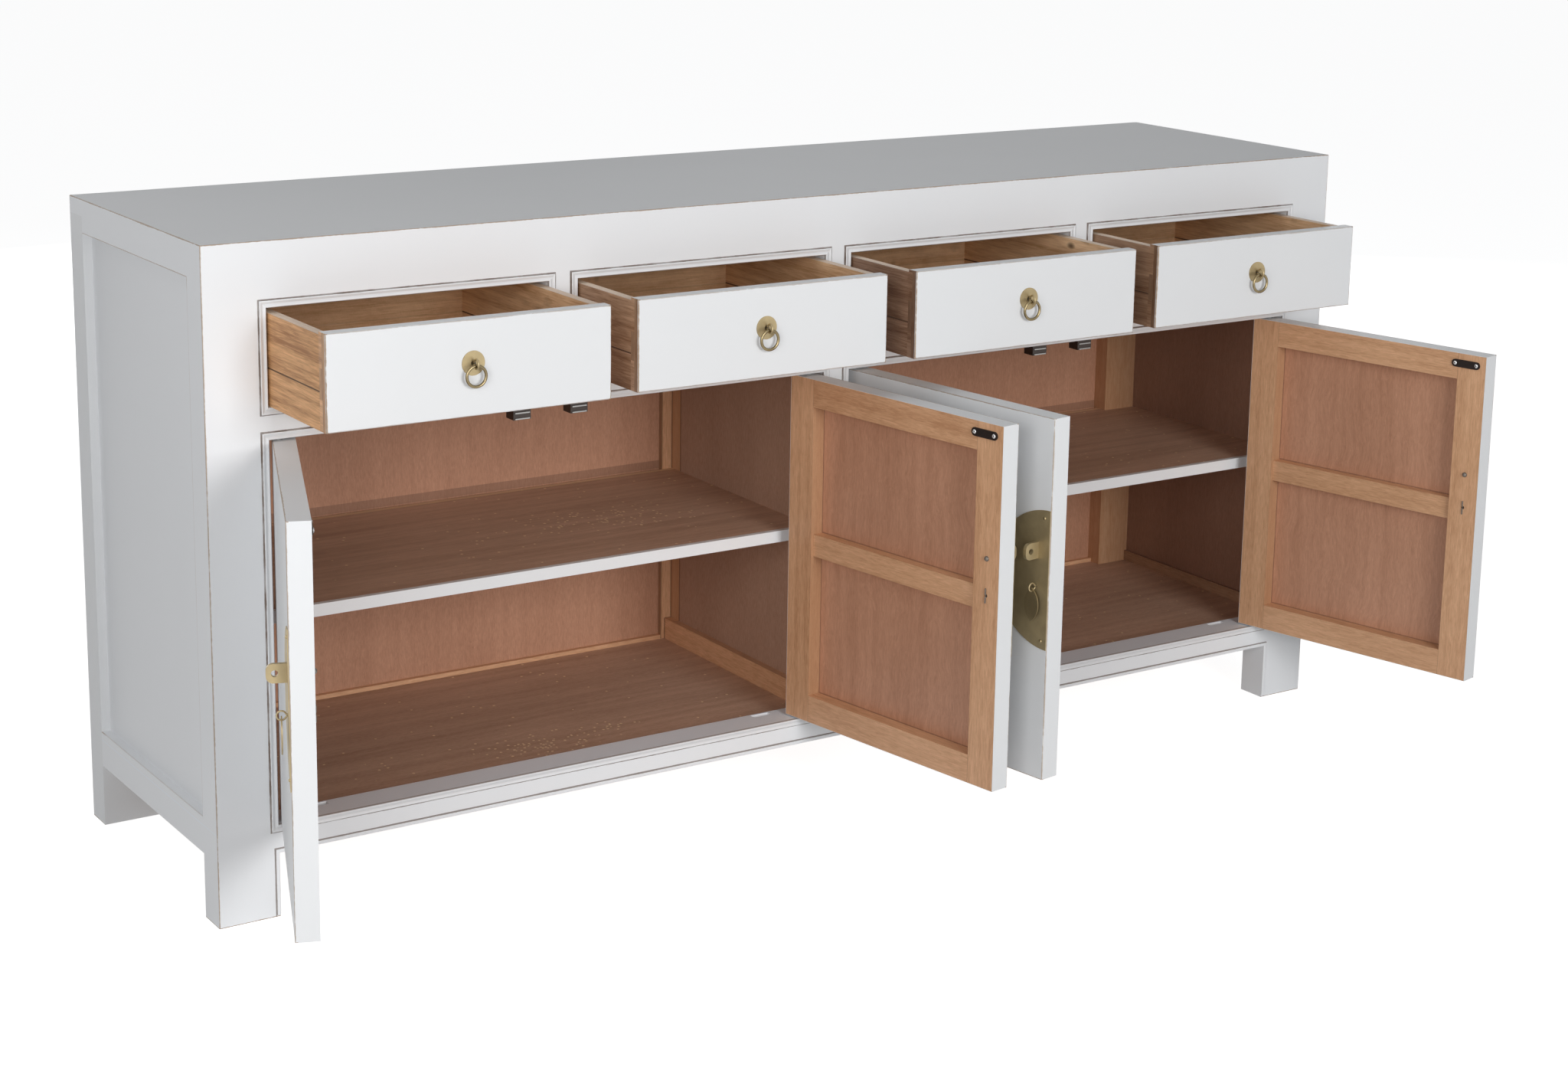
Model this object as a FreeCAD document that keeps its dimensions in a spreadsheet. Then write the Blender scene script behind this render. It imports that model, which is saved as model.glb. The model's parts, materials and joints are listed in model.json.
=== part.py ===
"""Sideboard with four drawers over two cupboards, framed doors on pin pivots and brass ring pulls."""
import FreeCAD, Part
import math
import os
import re
import Sketcher

# Every size in millimetres, and every angle in degrees
SIZES = {
    # The whole sideboard
    "total_width": 1800, "total_depth": 450, "total_height": 850,
    "edge_ease": 1.2,
    # Top board, legs and the rails and posts of the front
    "top_thickness": 22, "leg_width": 80, "leg_depth": 45, "foot_height": 84,
    "rail_depth": 45, "top_rail_height": 59, "mid_rail_height": 41, "bottom_rail_height": 37,
    "post_width": 42, "drawer_clear_height": 120,
    # Bead strips planted on the front
    "bead_width": 10, "bead_proud": 2.4, "bead_round": 2,
    "apron_bead_width": 5.5, "apron_bead_round": 1.4, "apron_floor_gap": 3,
    # Side frames and their panels
    "side_rail_thickness": 25, "side_top_rail_height": 22, "side_bottom_rail_height": 48,
    "side_panel_recess": 12, "side_panel_thickness": 8,
    # Back frame and its panels
    "back_rail_thickness": 25, "back_panel_recess": 8, "back_panel_thickness": 8,
    # Floors, shelves and the partition between the cupboards
    "floor_drop": 6, "floor_thickness": 12,
    "shelf_top": 380, "shelf_thickness": 16, "shelf_edge_depth": 8,
    "cleat_width": 12, "cleat_height": 14,
    "partition_thickness": 30, "partition_rail_height": 32, "partition_panel_thickness": 8,
    # Drawer runners, guides and kickers
    "runner_thickness": 16, "runner_reach": 22, "guide_height": 11, "guide_width": 12,
    # Magnetic catches
    "catch_width": 25, "catch_height": 22, "catch_depth": 20, "catch_offset": 41.5, "catch_clearance": 0.3,
    "pole_width": 21, "pole_thickness": 1.6, "pole_proud": 1.4, "pole_margin": 0.6, "pole_spacing": 7.6,
    # Drawers
    "drawer_side_gap": 2, "drawer_top_gap": 2.7, "drawer_floor_gap": 0.3,
    "drawer_length": 390, "drawer_front_thickness": 18, "drawer_side_thickness": 12,
    "drawer_side_drop": 3, "drawer_bottom_lift": 8, "drawer_bottom_thickness": 5,
    "drawer_front_ease": 2, "drawer_seam_share": 0.41, "drawer_seam_round": 0.8,
    "drawer_1_out": 165, "drawer_2_out": 150, "drawer_3_out": 150, "drawer_4_out": 142.5,
    # Ring pulls of the drawers
    "ring_drop": 52.5, "ring_plate_radius": 15, "ring_plate_thickness": 1,
    "ring_radius": 12.6, "ring_wire_radius": 1.9,
    "ring_eye_radius": 5.5, "ring_eye_wire_radius": 1.3, "ring_eye_off": 7.5, "ring_slack": 0.3,
    # Doors
    "door_gap": 2, "door_recess": 1, "door_board_thickness": 8, "door_frame_thickness": 20,
    "stile_width": 45, "door_rail_height": 38,
    "door_bar_height": 31, "door_bar_thickness": 15, "door_bar_lift": 10,
    "pivot_inset": 14, "pivot_depth": 8, "hinge_edge_round": 4,
    "pin_radius": 5, "pin_reach": 13, "pin_seat": 25, "pin_clearance": 0.3,
    "door_1_angle": 110.8, "door_2_angle": 98.8, "door_3_angle": 81.7, "door_4_angle": 103,
    # Slots in the sill
    "slot_start": 54, "slot_length": 28, "slot_width": 9, "slot_depth": 4, "slot_back": 33,
    # Half-moon plates with their nails, padlock lugs and cotter pins
    "hardware_inset": 22, "plate_drop": 214, "plate_radius": 93, "plate_thickness": 1,
    "plate_margin": 1, "nail_radius": 1.7, "nail_spread": 82, "nail_inset": 9,
    "lug_drop": 176, "lug_height": 22, "lug_projection": 24, "lug_thickness": 5,
    "lug_round": 8, "lug_hole_radius": 3.9, "lug_hole_inset": 9.5, "lug_screw_radius": 3.6,
    "eye_drop": 225, "eye_radius": 5.25, "eye_wire_radius": 1, "eye_off": 7.2,
    "cotter_hole_clearance": 0.3, "cotter_tail": 7, "cotter_bend_share": 1.6,
    # Leaf pulls of the doors
    "leaf_length": 45, "leaf_width": 24, "leaf_thickness": 1.5, "leaf_hole_radius": 1.5, "leaf_tip": 3.4,
    # Strike plates of the catches
    "strike_length": 45, "strike_height": 11, "strike_thickness": 2, "strike_inset": 32,
    "strike_drop": 14.8, "strike_screw_radius": 2.8, "strike_screw_spread": 17,
}

V = FreeCAD.Vector
doc = FreeCAD.newDocument("Sideboard")
sheet = doc.addObject("Spreadsheet::Sheet", "Sizes")
for row, (alias, value) in enumerate(SIZES.items(), start=1):
    sheet.set(f"A{row}", alias)
    sheet.set(f"B{row}", str(value))
    sheet.setAlias(f"B{row}", alias)
doc.recompute()
nodes = []


def size(alias):
    """The number that the sheet holds under an alias."""
    return float(sheet.get(alias))


def bound(text):
    """An expression whose names of sizes point to the sheet."""
    return re.sub(r"[a-z]\w*", lambda word: f"Sizes.{word.group()}" if word.group() in SIZES else word.group(), text)


def place(piece, corner, rotation=None):
    """Bind where a piece lies, turned by a fixed rotation."""
    piece.Placement = FreeCAD.Placement(V(), rotation or FreeCAD.Rotation())
    for axis, text in zip("xyz", corner):
        piece.setExpression(f"Placement.Base.{axis}", bound(text))
    return piece


def box(name, corner, extent):
    """A plain board from its lower left front corner."""
    piece = doc.addObject("Part::Box", name)
    for side, text in zip(("Length", "Width", "Height"), extent):
        piece.setExpression(side, bound(text))
    return place(piece, corner)


def cylinder(name, base, radius, length, rotation=None, sweep=360):
    """A round piece from the centre of its base."""
    piece = doc.addObject("Part::Cylinder", name)
    piece.setExpression("Radius", bound(radius))
    piece.setExpression("Height", bound(length))
    piece.Angle = sweep
    return place(piece, base, rotation)


def dome(name, centre, radius, rotation):
    """A domed head that stands on a face."""
    piece = doc.addObject("Part::Sphere", name)
    piece.setExpression("Radius", bound(radius))
    piece.Angle1 = 0
    return place(piece, centre, rotation)


def cut(name, base, tools):
    """A piece with holes or notches."""
    piece = doc.addObject("Part::Cut", name)
    piece.Base = base
    piece.Tool = tools[0] if len(tools) == 1 else gather(name + "_tools", tools)
    return piece


def gather(name, pieces):
    """Separate solids held together as one object."""
    group = doc.addObject("Part::Compound", name)
    group.Links = pieces
    return group


def node(label, pieces, corner=("0", "0", "0"), angle=None):
    """A sub-part under its label, at its place and turned about its upright axis."""
    group = place(gather(label + "_node", pieces), corner)
    if angle:
        group.setExpression("Placement.Rotation.Angle", bound(angle))
    group.Label = label
    nodes.append(group)


def polygon_sketch(body, plane_role, points):
    """A closed outline whose corners are bound to the sizes."""
    sketch = body.newObject("Sketcher::SketchObject", body.Name + "_outline")
    plane = [origin for origin in body.Origin.OriginFeatures if origin.Role == plane_role][0]
    sketch.AttachmentSupport = (plane, [""])
    sketch.MapMode = "FlatFace"
    # Corners start on a circle, in order, and the bound distances then move them
    count = len(points)
    turns = [2 * math.pi * index / count for index in range(count)]
    starts = [V(math.cos(turn), math.sin(turn), 0) for turn in turns]
    for index in range(count):
        sketch.addGeometry(Part.LineSegment(starts[index], starts[(index + 1) % count]), False)
    for index in range(count):
        sketch.addConstraint(Sketcher.Constraint("Coincident", index, 2, (index + 1) % count, 1))
    for index, corner in enumerate(points):
        for kind, text in zip(("DistanceX", "DistanceY"), corner):
            number = sketch.addConstraint(Sketcher.Constraint(kind, -1, 1, index, 1, 0.0))
            sketch.setExpression(f"Constraints[{number}]", bound(text))
    return sketch


def padded(name, plane_role, points, depth):
    """A body whose outline is padded to its thickness."""
    body = doc.addObject("PartDesign::Body", name)
    sketch = polygon_sketch(body, plane_role, points)
    pad = body.newObject("PartDesign::Pad", name + "_pad")
    pad.Profile = sketch
    pad.setExpression("Length", bound(depth))
    doc.recompute()
    return body


def eased(body, wanted, radius):
    """Round the edges whose middle lies where it is wanted, in shares of the piece's bounds."""
    base = body.Tip
    bounds = base.Shape.BoundBox
    names = []
    for index, edge in enumerate(base.Shape.Edges, start=1):
        middle = edge.CenterOfMass
        shares = ((middle.x - bounds.XMin) / bounds.XLength,
                  (middle.y - bounds.YMin) / bounds.YLength,
                  (middle.z - bounds.ZMin) / bounds.ZLength)
        if wanted(*[round(share, 3) for share in shares]):
            names.append(f"Edge{index}")
    fillet = body.newObject("PartDesign::Fillet", body.Name + "_round")
    fillet.Base = (base, names)
    fillet.setExpression("Radius", bound(radius))
    doc.recompute()
    return body


def board(name, corner, extent):
    """A board that can be eased: a rectangle padded to its height."""
    length, width, height = extent
    outline = [("0", "0"), (length, "0"), (length, width), ("0", width)]
    return place(padded(name, "XY_Plane", outline, height), corner)


def sided(side, start, length):
    """Where a piece of a door starts along the door's width, on a left or a right door."""
    return start if side > 0 else f"-({start}) - ({length})"


# Places that follow from the sizes
FRAME_TOP = "(total_height - top_thickness)"
DRAWER_TOP = f"({FRAME_TOP} - top_rail_height)"
DRAWER_FLOOR = f"({DRAWER_TOP} - drawer_clear_height)"
DOOR_TOP = f"({DRAWER_FLOOR} - mid_rail_height)"
DOOR_FLOOR = "(foot_height + bottom_rail_height)"
INNER_WIDTH = "(total_width - 2 * leg_width)"
RIGHT_LEG = "(total_width - leg_width)"
BACK_LEG = "(total_depth - leg_depth)"
BACK_FACE = "(total_depth - back_rail_thickness)"
DRAWER_CLEAR = f"(({INNER_WIDTH} - 3 * post_width) / 4)"
DOOR_CLEAR = f"(({INNER_WIDTH} - post_width) / 2)"
DOOR_CLEAR_HEIGHT = f"({DOOR_TOP} - {DOOR_FLOOR})"
MIDDLE = "(total_width / 2)"
FLOOR_TOP = f"({DOOR_FLOOR} - floor_drop)"

DRAWER_LEFTS = [f"(leg_width + {index} * ({DRAWER_CLEAR} + post_width))" for index in range(4)]
DOOR_LEFTS = [f"(leg_width + {index} * ({DOOR_CLEAR} + post_width))" for index in range(2)]
DIVIDERS = [f"({DRAWER_LEFTS[index + 1]} - post_width / 2)" for index in range(3)]
TO_FRONT = FreeCAD.Rotation(V(1, 0, 0), 90)
TO_BACK = FreeCAD.Rotation(V(1, 0, 0), -90)

# Top board, eased round its top and its corners
top = board("top", ("0", "0", FRAME_TOP), ("total_width", "total_depth", "top_thickness"))
eased(top, lambda x, y, z: z == 1 or z == 0.5, "edge_ease")
node("top_board", [top])

# Legs, the outer corner of each eased
for label, left, outer in (("leg_front_left", "0", 0), ("leg_front_right", RIGHT_LEG, 1)):
    leg = board(label + "_post", (left, "0", "0"), ("leg_width", "leg_depth", FRAME_TOP))
    eased(leg, lambda x, y, z, outer=outer: (x, y) == (outer, 0), "edge_ease")
    node(label, [leg])
back_legs = []
for side, left, outer in (("left", "0", 0), ("right", RIGHT_LEG, 1)):
    leg = board(f"leg_back_{side}_post", (left, BACK_LEG, "0"), ("leg_width", "leg_depth", FRAME_TOP))
    back_legs.append(eased(leg, lambda x, y, z, outer=outer: (x, y) == (outer, 1), "edge_ease"))
node("legs_back", back_legs)

# Front rails, with the blind holes of the door pins and the slots in the sill
PIVOT_Y = "(door_recess + pivot_depth)"
PIVOT_LEFTS = []
for left in DOOR_LEFTS:
    PIVOT_LEFTS.append(f"({left} + door_gap + pivot_inset)")
    PIVOT_LEFTS.append(f"({left} + {DOOR_CLEAR} - door_gap - pivot_inset)")
hole_radius = "pin_radius + pin_clearance"
hole_depth = "(pin_reach + pin_clearance)"
top_holes = []
sill_cuts = []
for index, pivot in enumerate(PIVOT_LEFTS, start=1):
    top_holes.append(cylinder(f"top_hole_{index}", (pivot, PIVOT_Y, DOOR_TOP), hole_radius, hole_depth))
    below = f"{DOOR_FLOOR} - {hole_depth}"
    sill_cuts.append(cylinder(f"sill_hole_{index}", (pivot, PIVOT_Y, below), hole_radius, hole_depth))
for index, left in enumerate(DOOR_LEFTS, start=1):
    for side, start in (("left", f"{left} + slot_start"),
                        ("right", f"{left} + {DOOR_CLEAR} - slot_start - slot_length")):
        sill_cuts.append(box(f"slot_{side}_{index}", (start, "slot_back", f"{DOOR_FLOOR} - slot_depth"),
                             ("slot_length", "slot_width", "slot_depth")))
top_rail = box("top_rail", ("leg_width", "0", DRAWER_TOP), (INNER_WIDTH, "rail_depth", "top_rail_height"))
mid_rail = box("mid_rail", ("leg_width", "0", DOOR_TOP), (INNER_WIDTH, "rail_depth", "mid_rail_height"))
bottom_rail = box("bottom_rail", ("leg_width", "0", "foot_height"),
                  (INNER_WIDTH, "rail_depth", "bottom_rail_height"))
node("front_rails", [top_rail, cut("mid_rail_bored", mid_rail, top_holes),
                     cut("sill_bored", bottom_rail, sill_cuts)])

# Dividers between the drawers and the post between the cupboards
uprights = []
for index, middle in enumerate(DIVIDERS, start=1):
    uprights.append(box(f"divider_{index}", (f"{middle} - post_width / 2", "0", DRAWER_FLOOR),
                        ("post_width", "rail_depth", "drawer_clear_height")))
uprights.append(box("centre_post", (f"{MIDDLE} - post_width / 2", "0", DOOR_FLOOR),
                    ("post_width", "rail_depth", DOOR_CLEAR_HEIGHT)))
node("front_dividers", uprights)


# Bead strips: each is a mitred strip with a rounded nose
def bead(name, corner, length, turn, width, radius, mitre_end=True):
    """A strip that runs along its outer edge, with its inner edge shorter by the mitres."""
    end = f"{length} - {width}" if mitre_end else length
    outline = [("0", "0"), (length, "0"), (end, width), (width, width)]
    strip = padded(name, "XZ_Plane", outline, "bead_proud")
    eased(strip, lambda x, y, z: y == 0 and z in (0, 1), radius)
    return place(strip, corner, FreeCAD.Rotation(V(0, 1, 0), turn))


def bead_frame(name, left, floor, width, height):
    """Four strips round an opening, their inner edges flush with it."""
    near, low = f"{left} - bead_width", f"{floor} - bead_width"
    far, high = f"{left} + {width} + bead_width", f"{floor} + {height} + bead_width"
    across, up = f"{width} + 2 * bead_width", f"{height} + 2 * bead_width"
    strips = (("low", near, low, across, 0), ("right", far, low, up, -90),
              ("high", far, high, across, 180), ("left", near, high, up, 90))
    return [bead(f"{name}_{side}", (x, "0", z), length, turn, "bead_width", "bead_round")
            for side, x, z, length, turn in strips]


beads = []
for index, left in enumerate(DRAWER_LEFTS, start=1):
    beads += bead_frame(f"drawer_bead_{index}", left, DRAWER_FLOOR, DRAWER_CLEAR, "drawer_clear_height")
for index, left in enumerate(DOOR_LEFTS, start=1):
    beads += bead_frame(f"door_bead_{index}", left, DOOR_FLOOR, DOOR_CLEAR, DOOR_CLEAR_HEIGHT)

# The apron bead runs under the bottom rail and turns down the inner edges of the front legs
apron_top = "foot_height + apron_bead_width"
apron_left = "leg_width - apron_bead_width"
apron_right = f"{RIGHT_LEG} + apron_bead_width"
apron_across = f"{INNER_WIDTH} + 2 * apron_bead_width"
apron_down = "foot_height + apron_bead_width - apron_floor_gap"
beads.append(bead("apron_across", (apron_right, "0", apron_top), apron_across, 180,
                  "apron_bead_width", "apron_bead_round"))
beads.append(bead("apron_left", (apron_left, "0", apron_top), apron_down, 90,
                  "apron_bead_width", "apron_bead_round", mitre_end=False))
right_outline = [("0", "0"), (apron_down, "0"), (f"{apron_down} - apron_bead_width", "apron_bead_width"),
                 ("0", "apron_bead_width")]
right_strip = padded("apron_right", "XZ_Plane", right_outline, "bead_proud")
eased(right_strip, lambda x, y, z: y == 0 and z in (0, 1), "apron_bead_round")
beads.append(place(right_strip, (apron_right, "0", "apron_floor_gap"), FreeCAD.Rotation(V(0, 1, 0), -90)))
node("opening_beads", beads)

# Side frames and panels
rails = []
panels = []
side_length = f"({BACK_LEG} - leg_depth)"
panel_floor = "foot_height + side_bottom_rail_height"
panel_height = f"{FRAME_TOP} - side_top_rail_height - foot_height - side_bottom_rail_height"
panel_right = "total_width - side_panel_recess - side_panel_thickness"
for side, left, panel_left in (("left", "0", "side_panel_recess"),
                               ("right", "total_width - side_rail_thickness", panel_right)):
    rails.append(box(f"side_top_rail_{side}", (left, "leg_depth", f"{FRAME_TOP} - side_top_rail_height"),
                     ("side_rail_thickness", side_length, "side_top_rail_height")))
    rails.append(box(f"side_bottom_rail_{side}", (left, "leg_depth", "foot_height"),
                     ("side_rail_thickness", side_length, "side_bottom_rail_height")))
    panels.append(box(f"side_panel_{side}", (panel_left, "leg_depth", panel_floor),
                      ("side_panel_thickness", side_length, panel_height)))
node("side_frames", rails)
node("side_panels", panels)

# Back frame and panels
back_members = []
for name, floor, height in (("top", DRAWER_TOP, "top_rail_height"), ("mid", DOOR_TOP, "mid_rail_height"),
                            ("bottom", "foot_height", "bottom_rail_height")):
    back_members.append(box(f"back_{name}_rail", ("leg_width", BACK_FACE, floor),
                            (INNER_WIDTH, "back_rail_thickness", height)))
back_panels = []
for name, floor, height in (("high", DRAWER_FLOOR, "drawer_clear_height"),
                            ("low", DOOR_FLOOR, DOOR_CLEAR_HEIGHT)):
    back_members.append(box(f"back_post_{name}", (f"{MIDDLE} - post_width / 2", BACK_FACE, floor),
                            ("post_width", "back_rail_thickness", height)))
    for index, left in enumerate(DOOR_LEFTS, start=1):
        back_panels.append(box(f"back_panel_{name}_{index}", (left, f"{BACK_FACE} + back_panel_recess", floor),
                               (DOOR_CLEAR, "back_panel_thickness", height)))
node("back_frame", back_members)
node("back_panels", back_panels)

# Partition between the cupboards: a panel between a low and a high rail
partition_length = f"({BACK_FACE} - rail_depth)"
partition_left = f"({MIDDLE} - partition_thickness / 2)"
PARTITION_FACE = "partition_panel_thickness / 2"
runner_floor = f"({DRAWER_FLOOR} - runner_thickness)"
partition_rail_top = f"({runner_floor} - partition_rail_height)"
rail_extent = ("partition_thickness", partition_length, "partition_rail_height")
node("partition", [
    box("partition_low_rail", (partition_left, "rail_depth", FLOOR_TOP), rail_extent),
    box("partition_high_rail", (partition_left, "rail_depth", partition_rail_top), rail_extent),
    box("partition_panel", (f"{MIDDLE} - {PARTITION_FACE}", "rail_depth", f"{FLOOR_TOP} + partition_rail_height"),
        ("partition_panel_thickness", partition_length,
         f"{partition_rail_top} - {FLOOR_TOP} - partition_rail_height"))])

# Floor boards and shelves, notched round the back legs
notches = [box("notch_left", ("0", BACK_LEG, "0"), ("leg_width", "leg_depth", FRAME_TOP)),
           box("notch_right", (RIGHT_LEG, BACK_LEG, "0"), ("leg_width", "leg_depth", FRAME_TOP))]
PANEL_INSIDE = "(side_panel_recess + side_panel_thickness)"
shelf_length = f"({MIDDLE} - {PARTITION_FACE} - {PANEL_INSIDE})"
shelf_floor = "(shelf_top - shelf_thickness)"
cleat_floor = f"{shelf_floor} - cleat_height"
shelf_back = "rail_depth + shelf_edge_depth"
floors = []
shelves = []
sides = (("left", "side_rail_thickness", PANEL_INSIDE, PANEL_INSIDE, f"{MIDDLE} - {PARTITION_FACE} - cleat_width"),
         ("right", MIDDLE, f"{MIDDLE} + {PARTITION_FACE}", f"total_width - {PANEL_INSIDE} - cleat_width",
          f"{MIDDLE} + {PARTITION_FACE}"))
for notch, (side, floor_left, shelf_left, outer_cleat, inner_cleat) in zip(notches, sides):
    floor_board = box(f"floor_{side}", (floor_left, "rail_depth", f"{FLOOR_TOP} - floor_thickness"),
                      (f"{MIDDLE} - side_rail_thickness", partition_length, "floor_thickness"))
    floors.append(cut(f"floor_{side}_notched", floor_board, [notch]))
    shelf = box(f"shelf_{side}", (shelf_left, shelf_back, shelf_floor),
                (shelf_length, f"{partition_length} - shelf_edge_depth", "shelf_thickness"))
    shelves.append(cut(f"shelf_{side}_notched", shelf, [notch]))
    shelves.append(box(f"shelf_edge_{side}", (shelf_left, "rail_depth", shelf_floor),
                       (shelf_length, "shelf_edge_depth", "shelf_thickness")))
    shelves.append(box(f"outer_cleat_{side}", (outer_cleat, "leg_depth", cleat_floor),
                       ("cleat_width", side_length, "cleat_height")))
    shelves.append(box(f"inner_cleat_{side}", (inner_cleat, "rail_depth", cleat_floor),
                       ("cleat_width", partition_length, "cleat_height")))
node("floor_boards", floors)
node("shelves", shelves)

# Drawer runners, with guides between the drawers and kickers over them
runners = []
for index, middle in enumerate(DIVIDERS, start=1):
    left = f"{middle} - post_width / 2 - runner_reach"
    extent = ("post_width + 2 * runner_reach", partition_length, "runner_thickness")
    runners.append(box(f"runner_{index}", (left, "rail_depth", runner_floor), extent))
    runners.append(box(f"kicker_{index}", (left, "rail_depth", DRAWER_TOP), extent))
    runners.append(box(f"guide_{index}", (f"{middle} - post_width / 2", "rail_depth", DRAWER_FLOOR),
                       ("post_width", partition_length, "guide_height")))
for side, left, guide_left in (("left", "leg_width", "leg_width - guide_width"),
                               ("right", f"{RIGHT_LEG} - runner_reach", RIGHT_LEG)):
    extent = ("runner_reach", partition_length, "runner_thickness")
    runners.append(box(f"end_runner_{side}", (left, "rail_depth", runner_floor), extent))
    runners.append(box(f"end_kicker_{side}", (left, "rail_depth", DRAWER_TOP), extent))
    runners.append(box(f"end_guide_{side}", (guide_left, "leg_depth", runner_floor),
                       ("guide_width", side_length, "runner_thickness + guide_height")))
node("drawer_runners", runners)

# Magnetic catches under the middle rail, each a case with two pole strips
catches = []
catch_front = "(door_recess + door_board_thickness + door_frame_thickness + strike_thickness + catch_clearance)"
catch_floor = f"{DOOR_TOP} - catch_height"
for index, left in enumerate(DOOR_LEFTS):
    for side in (-1, 1):
        name = f"catch_{2 * index + (side + 3) // 2}"
        middle = f"({left} + {DOOR_CLEAR} / 2 + {side} * catch_offset)"
        catches.append(box(name, (f"{middle} - catch_width / 2", f"{catch_front} + pole_proud", catch_floor),
                           ("catch_width", "catch_depth", "catch_height")))
        for level, rise in (("low", "pole_margin"), ("high", "pole_margin + pole_spacing")):
            catches.append(box(f"{name}_pole_{level}",
                               (f"{middle} - pole_width / 2", catch_front, f"{catch_floor} + {rise}"),
                               ("pole_width", "pole_proud", "pole_thickness")))
node("magnetic_catches", catches)


def cotter(name, eye, wire, off, through):
    """A cotter pin: two legs through a board, an eye in front of it and two tails bent flat behind it."""
    spread = wire + size("cotter_hole_clearance") / 2
    neck = wire * size("cotter_bend_share")
    reach = math.sqrt((eye + neck) ** 2 - (spread + neck) ** 2)
    tail_plane = through + wire
    share = eye / (eye + neck)

    def arc_middle(centre, radius, first, second):
        towards = (first - centre).normalize() + (second - centre).normalize()
        return centre + towards.normalize() * radius

    def half(side):
        """One leg from its tail to the eye, above or below the middle."""
        tail = V(0, tail_plane, side * (spread + neck + size("cotter_tail")))
        bend_start = V(0, tail_plane, side * (spread + neck))
        bend_centre = V(0, tail_plane - neck, side * (spread + neck))
        bend_end = V(0, tail_plane - neck, side * spread)
        neck_start = V(0, reach - off, side * spread)
        neck_centre = V(0, reach - off, side * (spread + neck))
        neck_end = V(0, reach * share - off, side * (spread + neck) * share)
        return [Part.LineSegment(tail, bend_start),
                Part.Arc(bend_start, arc_middle(bend_centre, neck, bend_start, bend_end), bend_end),
                Part.LineSegment(bend_end, neck_start),
                Part.Arc(neck_start, arc_middle(neck_centre, neck, neck_start, neck_end), neck_end)], neck_end

    upper, upper_end = half(1)
    lower, lower_end = half(-1)
    loop = Part.Arc(upper_end, V(0, -off - eye, 0), lower_end)
    spine = Part.Wire(Part.__sortEdges__([curve.toShape() for curve in upper + [loop] + lower]))
    start = V(0, tail_plane, spread + neck + size("cotter_tail"))
    ring = Part.Wire(Part.makeCircle(wire, start, V(0, 0, 1)))
    piece = doc.addObject("Part::Feature", name)
    piece.Shape = spine.makePipeShell([ring], True, False)
    return piece


# Drawers: each box runs on its own, with a ring pull on its front
front_width = f"({DRAWER_CLEAR} - 2 * drawer_side_gap)"
front_height = "(drawer_clear_height - drawer_top_gap - drawer_floor_gap)"
side_height = f"({front_height} - drawer_side_drop)"
box_length = "(drawer_length - drawer_front_thickness)"
inner_width = f"({front_width} - 2 * drawer_side_thickness)"
ring_height = f"({front_height} - ring_drop)"
bottom_top = "(drawer_bottom_lift + drawer_bottom_thickness)"
seam_height = f"({side_height} * drawer_seam_share)"
for number, left in enumerate(DRAWER_LEFTS, start=1):
    name = f"drawer_{number}"
    corner = (f"{left} + drawer_side_gap", f"-drawer_{number}_out", f"{DRAWER_FLOOR} + drawer_floor_gap")
    hole = cylinder(f"{name}_hole", (f"{front_width} / 2", "drawer_front_thickness", ring_height),
                    "2 * ring_eye_wire_radius + 2 * cotter_hole_clearance",
                    "drawer_front_thickness + ring_plate_thickness", TO_FRONT)
    front = board(f"{name}_front_board", ("0", "0", "0"), (front_width, "drawer_front_thickness", front_height))
    eased(front, lambda x, y, z: y == 0, "drawer_front_ease")
    node(f"{name}_front", [cut(f"{name}_front_bored", front, [hole])], corner)
    # Each side is glued up from two boards whose meeting edges are rounded outside
    planks = [box(f"{name}_back", ("drawer_side_thickness", "drawer_length - drawer_side_thickness", bottom_top),
                  (inner_width, "drawer_side_thickness", f"{side_height} - {bottom_top}"))]
    for word, side_left, outer in (("left", "0", 0), ("right", f"{front_width} - drawer_side_thickness", 1)):
        for level, floor, height, seam in (("low", "0", seam_height, 1),
                                           ("high", seam_height, f"{side_height} - {seam_height}", 0)):
            plank = board(f"{name}_side_{word}_{level}", (side_left, "drawer_front_thickness", floor),
                          ("drawer_side_thickness", box_length, height))
            planks.append(eased(plank, lambda x, y, z, outer=outer, seam=seam: (x, z) == (outer, seam),
                                "drawer_seam_round"))
    node(f"{name}_sides", planks, corner)
    node(f"{name}_bottom", [
        box(f"{name}_bottom_board", ("drawer_side_thickness", "drawer_front_thickness", "drawer_bottom_lift"),
            (inner_width, box_length, "drawer_bottom_thickness"))], corner)
    plate = cylinder(f"{name}_plate", (f"{front_width} / 2", "0", ring_height),
                     "ring_plate_radius", "ring_plate_thickness", TO_FRONT)
    pin = cotter(f"{name}_cotter", size("ring_eye_radius"), size("ring_eye_wire_radius"),
                 size("ring_eye_off") + size("ring_plate_thickness"), size("drawer_front_thickness"))
    place(pin, (f"{front_width} / 2", "0", ring_height))
    node(f"{name}_ring_plate", [cut(f"{name}_plate_bored", plate, [hole]), pin], corner)
    ring = doc.addObject("Part::Torus", f"{name}_ring_wire")
    ring.setExpression("Radius1", bound("ring_radius"))
    ring.setExpression("Radius2", bound("ring_wire_radius"))
    hang = "(ring_eye_radius - ring_eye_wire_radius - ring_wire_radius - ring_slack)"
    place(ring, (f"{front_width} / 2", "-ring_plate_thickness - ring_eye_off",
                 f"{ring_height} - {hang} - ring_radius"), TO_FRONT)
    node(f"{name}_ring", [ring], corner)

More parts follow.
